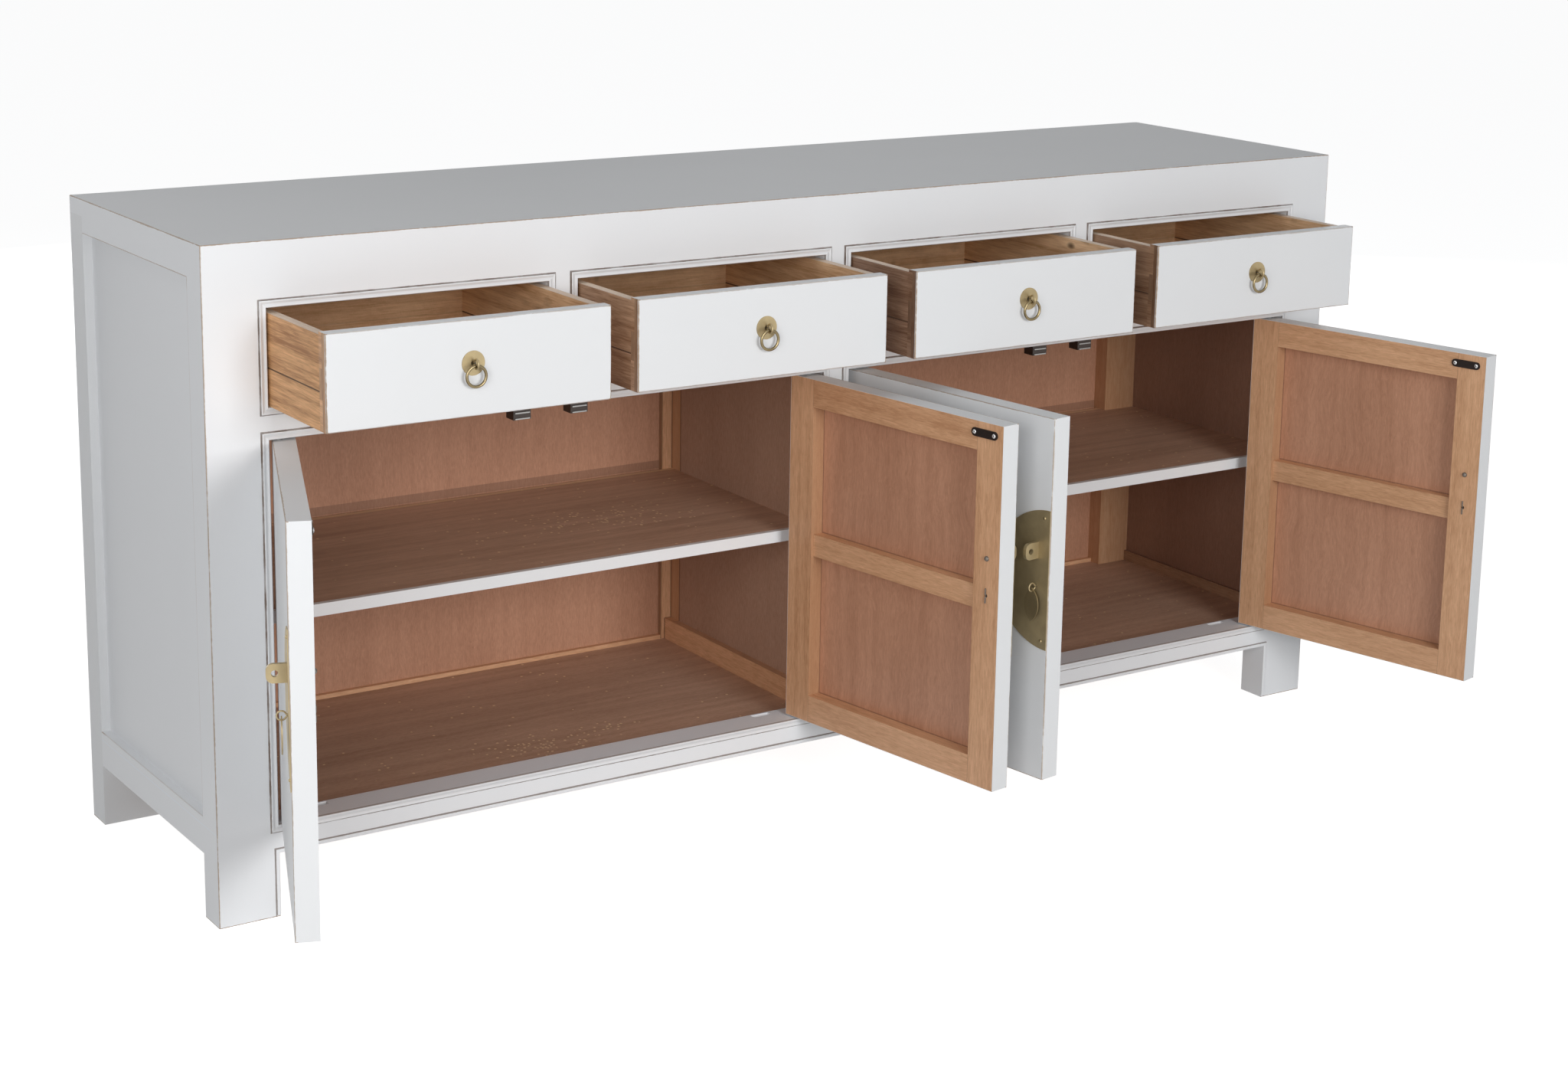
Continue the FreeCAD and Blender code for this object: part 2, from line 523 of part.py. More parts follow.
# Doors: each is built about its pivot axis and then turned to the angle at which it stands
door_width = f"(({DOOR_CLEAR} - 3 * door_gap) / 2)"
door_height = f"({DOOR_CLEAR_HEIGHT} - 2 * door_gap)"
door_thickness = "(door_board_thickness + door_frame_thickness)"
free_edge = f"({door_width} - pivot_inset)"
board_front = "-pivot_depth"
frame_front = "(door_board_thickness - pivot_depth)"
inside_face = f"({door_thickness} - pivot_depth)"
rail_length = f"({door_width} - 2 * stile_width)"
rail_start = "(stile_width - pivot_inset)"
bar_floor = f"({door_height} / 2 + door_bar_lift - door_bar_height / 2)"
hardware_line = f"({free_edge} - hardware_inset)"
for number, pivot in enumerate(PIVOT_LEFTS, start=1):
    name = f"door_{number}"
    side = 1 if number % 2 else -1
    corner = (pivot, PIVOT_Y, f"{DOOR_FLOOR} + door_gap")
    angle = f"-door_{number}_angle" if side > 0 else f"door_{number}_angle"
    inner, outer = (0, 1) if side > 0 else (1, 0)

    def door_box(part, start, depth, floor, extent):
        """A board of this door from where it starts along the width."""
        return box(f"{name}_{part}", (sided(side, start, extent[0]), depth, floor), extent)

    def across(place_along):
        """A place along the width, mirrored on a right door."""
        return place_along if side > 0 else f"-({place_along})"

    pins = gather(f"{name}_pins", [
        cylinder(f"{name}_pin_low", ("0", "0", "-door_gap - pin_reach"), "pin_radius",
                 "door_gap + pin_reach + pin_seat"),
        cylinder(f"{name}_pin_high", ("0", "0", f"{door_height} - pin_seat"), "pin_radius",
                 "door_gap + pin_reach + pin_seat")])
    cotter_hole = cylinder(f"{name}_cotter_hole", (across(hardware_line), inside_face, f"{door_height} - eye_drop"),
                           "2 * eye_wire_radius + 2 * cotter_hole_clearance",
                           f"{door_thickness} + plate_thickness", TO_FRONT)
    face = board(f"{name}_face", (sided(side, "-pivot_inset", door_width), board_front, "0"),
                 (door_width, "door_board_thickness", door_height))
    eased(face, lambda x, y, z, inner=inner: (x, y) == (inner, 0), "hinge_edge_round")
    eased(face, lambda x, y, z, outer=outer: (x, y) == (outer, 0), "edge_ease")
    node(f"{name}_board", [cut(f"{name}_face_bored", face, [pins, cotter_hole])], corner, angle)
    stile = ("stile_width", "door_frame_thickness", door_height)
    rail = (rail_length, "door_frame_thickness", "door_rail_height")
    node(f"{name}_frame", [
        cut(f"{name}_hinge_stile_bored", door_box("hinge_stile", "-pivot_inset", frame_front, "0", stile), [pins]),
        cut(f"{name}_lock_stile_bored",
            door_box("lock_stile", f"{free_edge} - stile_width", frame_front, "0", stile), [cotter_hole]),
        door_box("bottom_rail", rail_start, frame_front, "0", rail),
        door_box("top_rail", rail_start, frame_front, f"{door_height} - door_rail_height", rail),
        door_box("bar", rail_start, frame_front, bar_floor, (rail_length, "door_bar_thickness", "door_bar_height")),
    ], corner, angle)
    node(f"{name}_pivot_pins", [pins], corner, angle)

    # The half-moon plate, with its straight side along the free edge
    plate_line = f"({free_edge} - plate_margin)"
    half_turn = FreeCAD.Rotation(V(0, 0, side), V(-side, 0, 0), V(0, -1, 0))
    plate = cylinder(f"{name}_plate", (across(plate_line), board_front, f"{door_height} - plate_drop"),
                     "plate_radius", "plate_thickness", half_turn, sweep=180)
    plate_front = "-pivot_depth - plate_thickness"
    pieces = [cut(f"{name}_plate_bored", plate, [cotter_hole])]
    for level in (-1, 1):
        pieces.append(dome(f"{name}_nail_{(level + 3) // 2}",
                           (across(f"{plate_line} - nail_inset"), plate_front,
                            f"{door_height} - plate_drop + {level} * nail_spread"), "nail_radius", TO_FRONT))
    lug = padded(f"{name}_lug", "YZ_Plane", [("0", "0"), ("-lug_projection + plate_thickness", "0"),
                                             ("-lug_projection + plate_thickness", "lug_height"),
                                             ("0", "lug_height")], "lug_thickness")
    eased(lug, lambda x, y, z: y == 0 and z in (0, 1), "lug_round")
    lug_start = sided(side, f"{hardware_line} - lug_thickness / 2", "lug_thickness")
    lug_floor = f"{door_height} - lug_drop - lug_height / 2"
    place(lug, (lug_start, plate_front, lug_floor))
    eyelet = cylinder(f"{name}_lug_hole", (lug_start, "lug_hole_inset - pivot_depth - lug_projection",
                                           f"{door_height} - lug_drop"),
                      "lug_hole_radius", "lug_thickness", FreeCAD.Rotation(V(0, 1, 0), 90))
    pieces.append(cut(f"{name}_lug_bored", lug, [eyelet]))
    pieces.append(dome(f"{name}_lug_screw", (across(hardware_line), inside_face, f"{door_height} - lug_drop"),
                       "lug_screw_radius", TO_BACK))
    pin = cotter(f"{name}_cotter", size("eye_radius"), size("eye_wire_radius"),
                 size("eye_off") + size("plate_thickness") + size("pivot_depth"),
                 size("door_board_thickness") + size("door_frame_thickness") - size("pivot_depth"))
    pieces.append(place(pin, (across(hardware_line), "0", f"{door_height} - eye_drop")))
    node(f"{name}_lock_plate", pieces, corner, angle)

    # The strike plate of the catch, round at both ends, with its two screws
    strike_line = f"({free_edge} - strike_inset)"
    strike_level = f"{door_height} - strike_drop"
    straight = "(strike_length - strike_height)"
    plate = doc.addObject("Part::MultiFuse", f"{name}_strike_rounded")
    plate.Refine = True
    plate.Shapes = [door_box("strike", f"{strike_line} - {straight} / 2", inside_face,
                             f"{strike_level} - strike_height / 2",
                             (straight, "strike_thickness", "strike_height"))]
    plate.Shapes += [cylinder(f"{name}_strike_{word}",
                              (across(f"{strike_line} + {way} * {straight} / 2"), inside_face, strike_level),
                              "strike_height / 2", "strike_thickness", TO_BACK)
                     for word, way in (("near", -1), ("far", 1))]
    strike = [plate]
    for level in (-1, 1):
        strike.append(dome(f"{name}_strike_screw_{(level + 3) // 2}",
                           (across(f"{strike_line} + {level} * strike_screw_spread"),
                            f"{inside_face} + strike_thickness", strike_level),
                           "strike_screw_radius / 2", TO_BACK))
    node(f"{name}_strike_plate", strike, corner, angle)

    # The leaf pull: two arcs that meet in points, hung by a hole on the lowest part of the eye
    bow = "((leaf_length * leaf_length + leaf_width * leaf_width) / 4 / leaf_width)"
    hole_level = f"({door_height} - eye_drop - eye_radius)"
    leaf_middle = f"({hole_level} + leaf_tip + leaf_hole_radius - leaf_length / 2)"
    leaf_back = "-pivot_depth - plate_thickness - eye_off + leaf_thickness / 2"
    leaf_line = across(hardware_line)
    curves = [cylinder(f"{name}_leaf_{word}", (f"{leaf_line} + {way} * ({bow} - leaf_width / 2)", leaf_back,
                                              leaf_middle), bow, "leaf_thickness", TO_FRONT)
              for word, way in (("left", -1), ("right", 1))]
    leaf = doc.addObject("Part::Common", f"{name}_leaf_blade")
    leaf.Base, leaf.Tool = curves
    leaf_hole = cylinder(f"{name}_leaf_hole", (leaf_line, leaf_back, hole_level), "leaf_hole_radius",
                         "leaf_thickness", TO_FRONT)
    node(f"{name}_leaf_pull", [cut(f"{name}_leaf_bored", leaf, [leaf_hole])], corner, angle)

# Build, check and write
doc.recompute()
for thing in doc.Objects:
    if "Invalid" in thing.State or "Error" in thing.State:
        raise RuntimeError(f"{thing.Label} failed: {thing.State}")
for piece in nodes:
    if piece.Shape.isNull() or not piece.Shape.isValid():
        raise RuntimeError(f"{piece.Label} has no valid shape")
os.makedirs("parts", exist_ok=True)
for piece in nodes:
    piece.Shape.exportStep(os.path.join("parts", piece.Label + ".step"))
print(len(nodes), "nodes,", sum(len(piece.Shape.Solids) for piece in nodes), "solids")
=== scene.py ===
"""Looks of the sideboard: white lacquer rubbed through at its edges, stained wood inside, antique brass."""
import json
import math

import bmesh
import bpy
from mathutils import Matrix, Vector


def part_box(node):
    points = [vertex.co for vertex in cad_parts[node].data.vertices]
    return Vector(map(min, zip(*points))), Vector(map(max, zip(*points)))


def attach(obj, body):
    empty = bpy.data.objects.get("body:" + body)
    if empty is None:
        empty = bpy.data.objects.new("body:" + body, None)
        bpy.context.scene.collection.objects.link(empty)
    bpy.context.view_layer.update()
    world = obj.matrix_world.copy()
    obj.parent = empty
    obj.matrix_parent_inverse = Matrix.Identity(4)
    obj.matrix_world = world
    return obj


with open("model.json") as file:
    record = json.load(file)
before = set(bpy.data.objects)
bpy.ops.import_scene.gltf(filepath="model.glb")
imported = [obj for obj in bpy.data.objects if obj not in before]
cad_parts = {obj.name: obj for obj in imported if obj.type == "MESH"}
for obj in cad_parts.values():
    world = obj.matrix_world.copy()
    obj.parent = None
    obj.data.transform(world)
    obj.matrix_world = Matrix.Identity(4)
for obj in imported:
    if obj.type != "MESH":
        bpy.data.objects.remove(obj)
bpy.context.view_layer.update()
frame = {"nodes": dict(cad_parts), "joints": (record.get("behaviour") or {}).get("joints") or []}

bl_info = {
    "name": "Lacquered Sideboard",
    "version": (1, 0, 0),
    "blender": (4, 5, 0),
    "location": "View3D > Sidebar > Sideboard",
    "description": "Finishes a lacquered sideboard and sets its studio",
    "category": "Object",
}

# Places that the frame gives, in metres
LEG_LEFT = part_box("leg_front_left")
LEG_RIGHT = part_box("leg_front_right")
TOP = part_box("top_board")
BODY_LOW = Vector((TOP[0][0], TOP[0][1], LEG_LEFT[0][2]))
BODY_HIGH = Vector(TOP[1])
MIDDLE = (BODY_LOW.x + BODY_HIGH.x) / 2
SIDE_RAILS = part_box("side_frames")
SIDE_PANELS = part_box("side_panels")
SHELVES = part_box("shelves")
JOINTS = {joint["name"]: joint for joint in frame["joints"]}
DRAWERS = (1, 2, 3, 4)
DOORS = (1, 2, 3, 4)

# Sizes of the pieces that a finish tells apart within one node, in metres
APRON_BEAD = 0.0055
SHELF_EDGE = 0.008
POST_HALF = 0.021
PARTITION_RAIL = 0.032
PARTITION_STILE = 0.026
DRAWER_SIDE = 0.012
# The sides of a drawer lap its front under and over these heights, from here on
LAPS = (0.038, 0.075)
LAP_FRONT = 0.010
# The heights between which the wood inside the cupboards begins, just under the faces of the floor boards
OVER_FLOOR = (0.112, 0.114)
# Width of a door's stiles, height of its rails and bar, and how far over the door's middle the bar is
DOOR_STILE = 0.045
DOOR_RAIL = 0.038
BAR_HEIGHT = 0.031
BAR_LIFT = 0.010
# Fasteners of a door, as distances from its free edge and from its top, and the plates under them
STRIKE_SCREWS = (0.032, 0.0148)
STRIKE_SPREAD = 0.017
LUG_SCREW = (0.022, 0.176)
NAILS = (0.010, 0.214)
NAIL_SPREAD = 0.082
STRIKE_PLATE = 0.002
LOCK_PLATE = 0.001
TURN_SPREAD = 0.6

# Stains over the colours of the wood, tints of painted light and shade, and shades of the lacquer
PLAIN = (1.0, 1.0, 1.0)
# Painted light and shade: what lies flat is tinted cooler and paler, a painted skylight, and what stands across
# darker and cooler, a painted shade, than the back panels
FLOOR_SKYLIGHT_TINT = (0.98, 1.20, 1.36)
CROSS_SHADE_TINT = (0.80, 0.94, 1.06)
# Painted shade: the side panels and side rails inside the cupboards are made darker and cooler for the shade they
# stand in
SIDE_PAINTED_SHADE = (0.58, 0.62, 0.68)
SIDE_RAIL_PAINTED_SHADE = (0.60, 0.62, 0.66)
# Painted light and shade on the four drawer boxes: drawer 1 lighter and drawers 3 and 4 darker, for how the drawers
# beside them shade their sides; inside, all are paler, a painted light from above, and more even
DRAWER_LIGHT_AND_SHADE = ((1.12, 1.01, 0.84), (0.86, 0.90, 1.0), (0.52, 0.50, 0.56), (0.56, 0.54, 0.57))
LINING_PAINTED_LIGHT = (1.10, 1.20, 1.26)
LINING_DARK_PAINTED_LIGHT = (1.6, 1.75, 1.8)
BOTTOM_STAIN = (1.08, 1.14, 1.18)
# Painted light: the carcass, but for its top, is made a little whiter and cooler than its doors and drawers, for the
# light that the open drawers keep from it
CARCASS_PAINTED_LIGHT = (1.06, 1.062, 1.07)
# Painted light: the sill's white is made cooler and paler, to offset the warm light from the cupboards that it lies
# in
SILL_PAINTED_LIGHT = (1.07, 1.13, 1.19)

# Grain of plywood, of fir boards and of the fir inside the drawers
PLYWOOD = {"late": 0.04, "length": 0.2}
PANEL_STREAKS = 0.18
FIR = {"late": 0.16, "streaky": 1.7, "length": 0.05}
LINING = {"late": 0.12, "streaky": 1.5, "length": 0.05, "knots": 15.0}
FLOOR_STREAKS = 1.6
# Waves of the growth rings, in radians per metre
RINGS = 378.0

# Sawdust: the spots where it is thickest and how far it spreads from each
FLOOR_DUST = (((0.51, 0.10, 0.115), 0.13), ((0.62, 0.12, 0.115), 0.07))
SHELF_DUST = (((0.66, 0.22, 0.38), 0.2),)

# Colours of small things
SAWDUST = (0.85, 0.66, 0.42)
KNOT = (0.07, 0.03, 0.015)
KNOT_STAIN = (0.13, 0.065, 0.035)
GLUE = (0.10, 0.05, 0.025)
PAINT_DUST = (0.78, 0.70, 0.62)
BARE_EDGE = (0.78, 0.56, 0.35)
PIN_ENDS = (0.16, 0.14, 0.12)
CATCH_CASE = ((0.022, 0.014, 0.010), (0.045, 0.028, 0.02))
CATCH_POLES = (0.34, 0.34, 0.33)
STRIKE_STEEL = (0.035, 0.028, 0.026)
PIN_STEEL = (0.50, 0.50, 0.49)
ZINC = (0.60, 0.60, 0.60)

# The camera, in metres and as directions
CAMERA_SPOT = (-1.17235, -3.02241, 1.39007)
CAMERA_RIGHT = (0.83174, -0.55488, 0.01779)
CAMERA_AHEAD = (0.54536, 0.81065, -0.21315)
CAMERA_SHIFT = (-0.0176, -0.0970)
# Lamps: name, place, what it looks at, watts, width and height
LAMPS = (
    ("key", (0.7, -4.6, 1.6), (0.9, 0.0, 0.45), 104.0, 1.8, 1.8),
    ("fill_left", (-1.9, -2.4, 1.35), (0.3, 0.0, 0.45), 39.0, 1.6, 1.6),
    ("top", (-0.6, 0.2, 2.6), (0.3, 0.2, 0.85), 5.6, 1.5, 1.5),
    ("fill_back", (3.9, 3.6, 0.9), (1.4, 0.3, 0.45), 26.0, 2.0, 1.6),
    ("back", (0.4, 4.8, 0.8), (0.9, 0.45, 0.45), 42.0, 2.0, 1.2),
)
WHITE = (1.0, 1.0, 1.0, 1.0)
ROOM = (0.95, 0.97, 1.0, 1.0)
ROOM_LIGHT = 0.17
FLOOR_REACH = 14.0
FLOOR_GLOW = 0.86


class SideboardSizes(bpy.types.PropertyGroup):
    """Small sizes of the finish and the fasteners."""
    post_width: bpy.props.FloatProperty(
        name="Post width", description="Width of the dividers and the centre post", default=0.042, unit="LENGTH")
    gap: bpy.props.FloatProperty(
        name="Gap", description="Gap beside each drawer and round each door", default=0.002, unit="LENGTH")
    drawer_lift: bpy.props.FloatProperty(
        name="Drawer lift", description="Gap under each drawer", default=0.0003, unit="LENGTH")
    drawer_top_gap: bpy.props.FloatProperty(
        name="Drawer top gap", description="Gap over each drawer front", default=0.0027, unit="LENGTH")
    bead_width: bpy.props.FloatProperty(
        name="Bead width", description="Width of the bead strips round the openings", default=0.010, unit="LENGTH")
    bead_ridge: bpy.props.FloatProperty(
        name="Bead ridge", description="How far the inner ridge of a bead lies from its opening", default=0.0015,
        unit="LENGTH")
    wear: bpy.props.FloatProperty(
        name="Wear", description="Width of the rubbed-through edges", default=0.0014, unit="LENGTH")
    lens: bpy.props.FloatProperty(name="Lens", description="Focal length of the camera", default=63.3)
    screw_radius: bpy.props.FloatProperty(
        name="Screw head", description="Radius of the screw heads", default=0.0029, unit="LENGTH")
    nail_radius: bpy.props.FloatProperty(
        name="Nail head", description="Radius of the nail heads", default=0.0021, unit="LENGTH")


class SideboardColours(bpy.types.PropertyGroup):
    """Colours of the finishes."""
    lacquer: bpy.props.FloatVectorProperty(
        name="Lacquer", description="White lacquer", size=3, subtype="COLOR", default=(0.80, 0.81, 0.82))
    bared: bpy.props.FloatVectorProperty(
        name="Bared wood", description="Wood where the lacquer is rubbed through", size=3, subtype="COLOR",
        default=(0.36, 0.25, 0.165))
    groove: bpy.props.FloatVectorProperty(
        name="Groove", description="Stain that stays in the grooves", size=3, subtype="COLOR",
        default=(0.15, 0.095, 0.065))
    honey: bpy.props.FloatVectorProperty(
        name="Honey wood", description="Light grain of the door frames", size=3, subtype="COLOR",
        default=(0.80, 0.485, 0.285))
    honey_dark: bpy.props.FloatVectorProperty(
        name="Honey wood, dark", description="Dark grain of the door frames", size=3, subtype="COLOR",
        default=(0.49, 0.25, 0.125))
    red: bpy.props.FloatVectorProperty(
        name="Red plywood", description="Light grain of the panels", size=3, subtype="COLOR",
        default=(0.62, 0.335, 0.215))
    red_dark: bpy.props.FloatVectorProperty(
        name="Red plywood, dark", description="Dark grain of the panels", size=3, subtype="COLOR",
        default=(0.42, 0.21, 0.125))
    fir: bpy.props.FloatVectorProperty(
        name="Fir", description="Light grain of the drawer boxes", size=3, subtype="COLOR",
        default=(0.86, 0.55, 0.32))
    fir_dark: bpy.props.FloatVectorProperty(
        name="Fir, dark", description="Dark grain of the drawer boxes", size=3, subtype="COLOR",
        default=(0.33, 0.165, 0.075))
    brass: bpy.props.FloatVectorProperty(
        name="Brass", description="Antique brass", size=3, subtype="COLOR", default=(0.32, 0.253, 0.142))
    stage: bpy.props.FloatVectorProperty(
        name="Stage", description="Pale floor", size=3, subtype="COLOR", default=(0.62, 0.62, 0.62))


def rgba(colour):
    """A colour with full alpha."""
    return (*colour, 1.0)


def tinted(colour, tint):
    """A colour under a stain, or under a tint of painted light or shade."""
    return Vector([part * share for part, share in zip(colour, tint)])


def add_node(tree, kind, inputs=None, **settings):
    """A new node of a tree, with its inputs linked where a socket is given and set where a value is."""
    made = tree.nodes.new(kind)
    for key, value in settings.items():
        setattr(made, key, value)
    for key, value in (inputs or {}).items():
        if isinstance(value, bpy.types.NodeSocket):
            tree.links.new(value, made.inputs[key])
        else:
            made.inputs[key].default_value = value
    return made


class Finish:
    """A material whose nodes are added one after another."""

    def __init__(self, name):
        self.material = bpy.data.materials.new(name)
        self.material.use_nodes = True
        self.tree = self.material.node_tree
        self.tree.nodes.clear()
        self.coords = self.node("ShaderNodeTexCoord").outputs["Object"]

    def node(self, kind, inputs=None, **settings):
        return add_node(self.tree, kind, inputs, **settings)

    def math(self, operation, *values, clamp=False):
        return self.node("ShaderNodeMath", dict(enumerate(values)), operation=operation, use_clamp=clamp).outputs[0]

    def vector(self, operation, *values):
        return self.node("ShaderNodeVectorMath", dict(enumerate(values)), operation=operation).outputs[0]

    def times(self, first, *others):
        """The product of all the values."""
        for other in others:
            first = self.math("MULTIPLY", first, other)
        return first

    def most(self, first, second):
        return self.math("MAXIMUM", first, second)

    def least(self, first, second):
        return self.math("MINIMUM", first, second)

    def minus(self, first, second):
        return self.math("SUBTRACT", first, second)

    def off(self, value, level):
        """How far a value is from a level."""
        return self.math("ABSOLUTE", self.minus(value, level))

    def beyond(self, value, low, high):
        """How far a value is outside a span, and negative within it."""
        return self.minus(self.off(value, (low + high) / 2), (high - low) / 2)

    def step(self, value, low, high):
        """0 below low, 1 above high, and smooth between."""
        return self.node("ShaderNodeMapRange", {"Value": value, "From Min": low, "From Max": high},
                         interpolation_type="SMOOTHSTEP").outputs["Result"]

    def mix(self, share, first, second):
        """The first colour where share is 0, the second where it is 1."""
        first, second = (colour if isinstance(colour, bpy.types.NodeSocket) else rgba(colour)
                         for colour in (first, second))
        return self.node("ShaderNodeMix", {0: share, 6: first, 7: second}, data_type="RGBA").outputs[2]

    def blend(self, share, first, second):
        """A number between two, as the colours of mix are."""
        return self.node("ShaderNodeMix", {0: share, 2: first, 3: second}, data_type="FLOAT").outputs[0]

    def noise(self, where, scale, detail=2.0, roughness=0.5, distortion=0.0):
        return self.node("ShaderNodeTexNoise", {"Vector": where, "Scale": scale, "Detail": detail,
                                                "Roughness": roughness, "Distortion": distortion}).outputs[0]

    def split(self, where):
        return self.node("ShaderNodeSeparateXYZ", {0: where}).outputs

    def scaled(self, where, scale):
        return self.vector("MULTIPLY", where, scale)

    def turned(self, centre, turn, flip):
        """Coordinates of a door that stands open: along its width, through it, and up."""
        return self.node("ShaderNodeMapping", {"Vector": self.coords, "Location": centre, "Rotation": (0, 0, turn),
                                               "Scale": (flip, 1, 1)}, vector_type="TEXTURE").outputs[0]

    def edge_lines(self, where, low, high, width):
        """1 on the edges of a box, where two of its faces are near."""
        centre = (Vector(low) + Vector(high)) / 2
        half = (Vector(high) - Vector(low)) / 2
        inside = self.vector("SUBTRACT", self.vector("ABSOLUTE", self.vector("SUBTRACT", where, centre)), half)
        x, y, z = self.split(inside)
        second = self.most(self.least(x, y), self.least(self.most(x, y), z))
        return self.step(self.math("ADD", second, width), 0.0, 0.0004)

    def near(self, value, level, reach):
        """1 where a value is within reach of a level."""
        return self.step(self.off(value, level), self.math("ADD", reach, 0.0003), reach)

    def ends(self, value, low, high, depth):
        """1 within a depth of either end of a span."""
        return self.most(self.step(value, low + depth + 0.0002, low + depth - 0.0001),
                         self.step(value, high - depth - 0.0002, high - depth + 0.0001))

    def wood(self, where, along, light, dark, late=0.10, streaky=0.6, length=0.10, warp=0.0, knots=0.0, seed=0.0):
        """Grain along one axis: dark rings, fibres and, on softwood, knots. Gives the colour and the height."""
        def stretched(share):
            return [share if axis == along else 1.0 for axis in range(3)]

        placed = self.vector("ADD", where, (seed, 1.7 * seed, 2.3 * seed))
        if warp:
            bent = self.node("ShaderNodeTexNoise", {"Vector": placed, "Scale": 11.0, "Detail": 2.0}).outputs[1]
            placed = self.vector("ADD", placed, self.scaled(bent, (warp, warp, warp)))
        drawn = self.scaled(placed, stretched(0.07))
        shade = self.times(self.noise(drawn, 7.0, 3.0), 6.0)
        knot = None
        if knots:
            spots = self.node("ShaderNodeTexVoronoi", {"Vector": self.scaled(placed, stretched(0.55)),
                                                       "Scale": knots, "Randomness": 1.0}).outputs["Distance"]
            knot = self.step(spots, 0.10, 0.03)
            shade = self.math("ADD", shade, self.times(self.step(spots, 0.42, 0.0), 2.6))
        sides = [side for axis, side in enumerate(self.split(drawn)) if axis != along]
        rings = self.math("SINE", self.math("ADD", self.times(self.math("ADD", *sides), RINGS),
                                            self.times(shade, 2.2)))
        latewood = self.step(rings, 0.0, 1.0)
        fibres = self.noise(self.scaled(placed, stretched(length)), 520.0, 3.0, 0.65, 0.6)
        streaks = self.noise(self.scaled(placed, stretched(0.04)), 60.0, 3.0, 0.6)
        blotch = self.noise(self.scaled(placed, stretched(0.35)), 9.0, 3.0)
        tone = self.minus(self.times(self.minus(fibres, 0.5), 1.6),
                         self.times(self.minus(latewood, 0.4), late))
        tone = self.math("ADD", tone, self.times(self.minus(streaks, 0.5), streaky))
        tone = self.math("ADD", tone, self.times(self.minus(blotch, 0.5), 0.9))
        share = self.math("ADD", tone, 0.5, clamp=True)
        colour = self.mix(share, dark, light)
        if knot is not None:
            # Knots, and stains round them
            stain = self.step(self.noise(self.scaled(placed, stretched(0.5)), 17.0, 4.0), 0.62, 0.74)
            colour = self.mix(self.times(stain, 0.45), colour, KNOT_STAIN)
            colour = self.mix(self.times(knot, 0.85), colour, KNOT)
        return colour, self.minus(fibres, self.times(latewood, 0.2))

    def sawdust(self, colour, spots):
        """Pale specks over a colour, thickest round each spot and far fewer elsewhere."""
        cells = self.node("ShaderNodeTexVoronoi", {"Vector": self.coords, "Scale": 150.0}).outputs
        thick = 0.03
        for spot, reach in spots:
            off = self.scaled(self.vector("SUBTRACT", self.coords, spot), (1.0, 2.2, 0.0))
            away = self.node("ShaderNodeVectorMath", {0: off}, operation="LENGTH").outputs["Value"]
            thick = self.math("ADD", thick, self.times(self.step(away, reach, 0.0), 0.6))
        there = self.math("LESS_THAN", self.split(cells["Color"])[0], thick)
        speck = self.times(there, self.step(cells["Distance"], 0.34, 0.24))
        return self.mix(speck, colour, SAWDUST)

    def surface(self, colour, roughness, height=None, depth=0.0002, strength=0.3, metallic=0.0, coat=0.0,
                moulding=None):
        """Close the tree with a shader and, where there is a height, its bump, over that of a moulding."""
        inputs = {"Base Color": colour, "Roughness": roughness, "Metallic": metallic}
        if coat:
            inputs["Coat Weight"] = coat
            inputs["Coat Roughness"] = 0.25
        under = {}
        if moulding is not None:
            under["Normal"] = self.node("ShaderNodeBump", {"Height": moulding, "Distance": 0.0014,
                                                           "Strength": 0.55}).outputs[0]
        if height is not None:
            inputs["Normal"] = self.node("ShaderNodeBump", {"Height": height, "Distance": depth,
                                                            "Strength": strength, **under}).outputs[0]
        shader = self.node("ShaderNodeBsdfPrincipled", inputs)
        self.node("ShaderNodeOutputMaterial", {"Surface": shader.outputs[0]})
        return self.material


def wear_width(finish, width):
    """A worn edge is wide in some places and nearly gone in others."""
    patches = finish.noise(finish.coords, 14.0, 3.0)
    nicks = finish.noise(finish.coords, 160.0, 2.0)
    uneven = finish.math("ADD", finish.times(patches, 1.6), finish.times(nicks, 0.9))
    return finish.times(finish.minus(uneven, 0.35), width)


def lacquer_colour(finish, colours, shade=PLAIN):
    """White with a hardly visible unevenness of brushed paint."""
    cloud = finish.noise(finish.coords, 5.0, 3.0)
    paint = tinted(colours.lacquer, shade)
    return finish.mix(cloud, paint * 0.975, paint * 1.015)


def lacquer_height(finish):
    """The fine orange-peel of sprayed lacquer."""
    return finish.noise(finish.coords, 260.0, 2.0)


def front_openings(sizes):
    """The clear openings of the front as left, right, floor and top."""
    left, right = LEG_LEFT[1][0], LEG_RIGHT[0][0]
    post = sizes.post_width
    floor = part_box("drawer_1_front")[0][2] - sizes.drawer_lift
    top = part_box("drawer_1_front")[1][2] + sizes.drawer_top_gap
    clear = (right - left - 3 * post) / 4
    openings = [(left + index * (clear + post), left + index * (clear + post) + clear, floor, top)
                for index in range(4)]
    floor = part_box("door_1_board")[0][2] - sizes.gap
    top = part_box("door_1_board")[1][2] + sizes.gap
    clear = (right - left - post) / 2
    openings += [(left + index * (clear + post), left + index * (clear + post) + clear, floor, top)
                 for index in range(2)]
    return openings


def outside_openings(finish, x, z, openings):
    """How far a point lies outside the nearest opening of the front."""
    nearest = None
    for left, right, floor, top in openings:
        outside = finish.most(finish.beyond(x, left, right), finish.beyond(z, floor, top))
        nearest = outside if nearest is None else finish.least(nearest, outside)
    return nearest


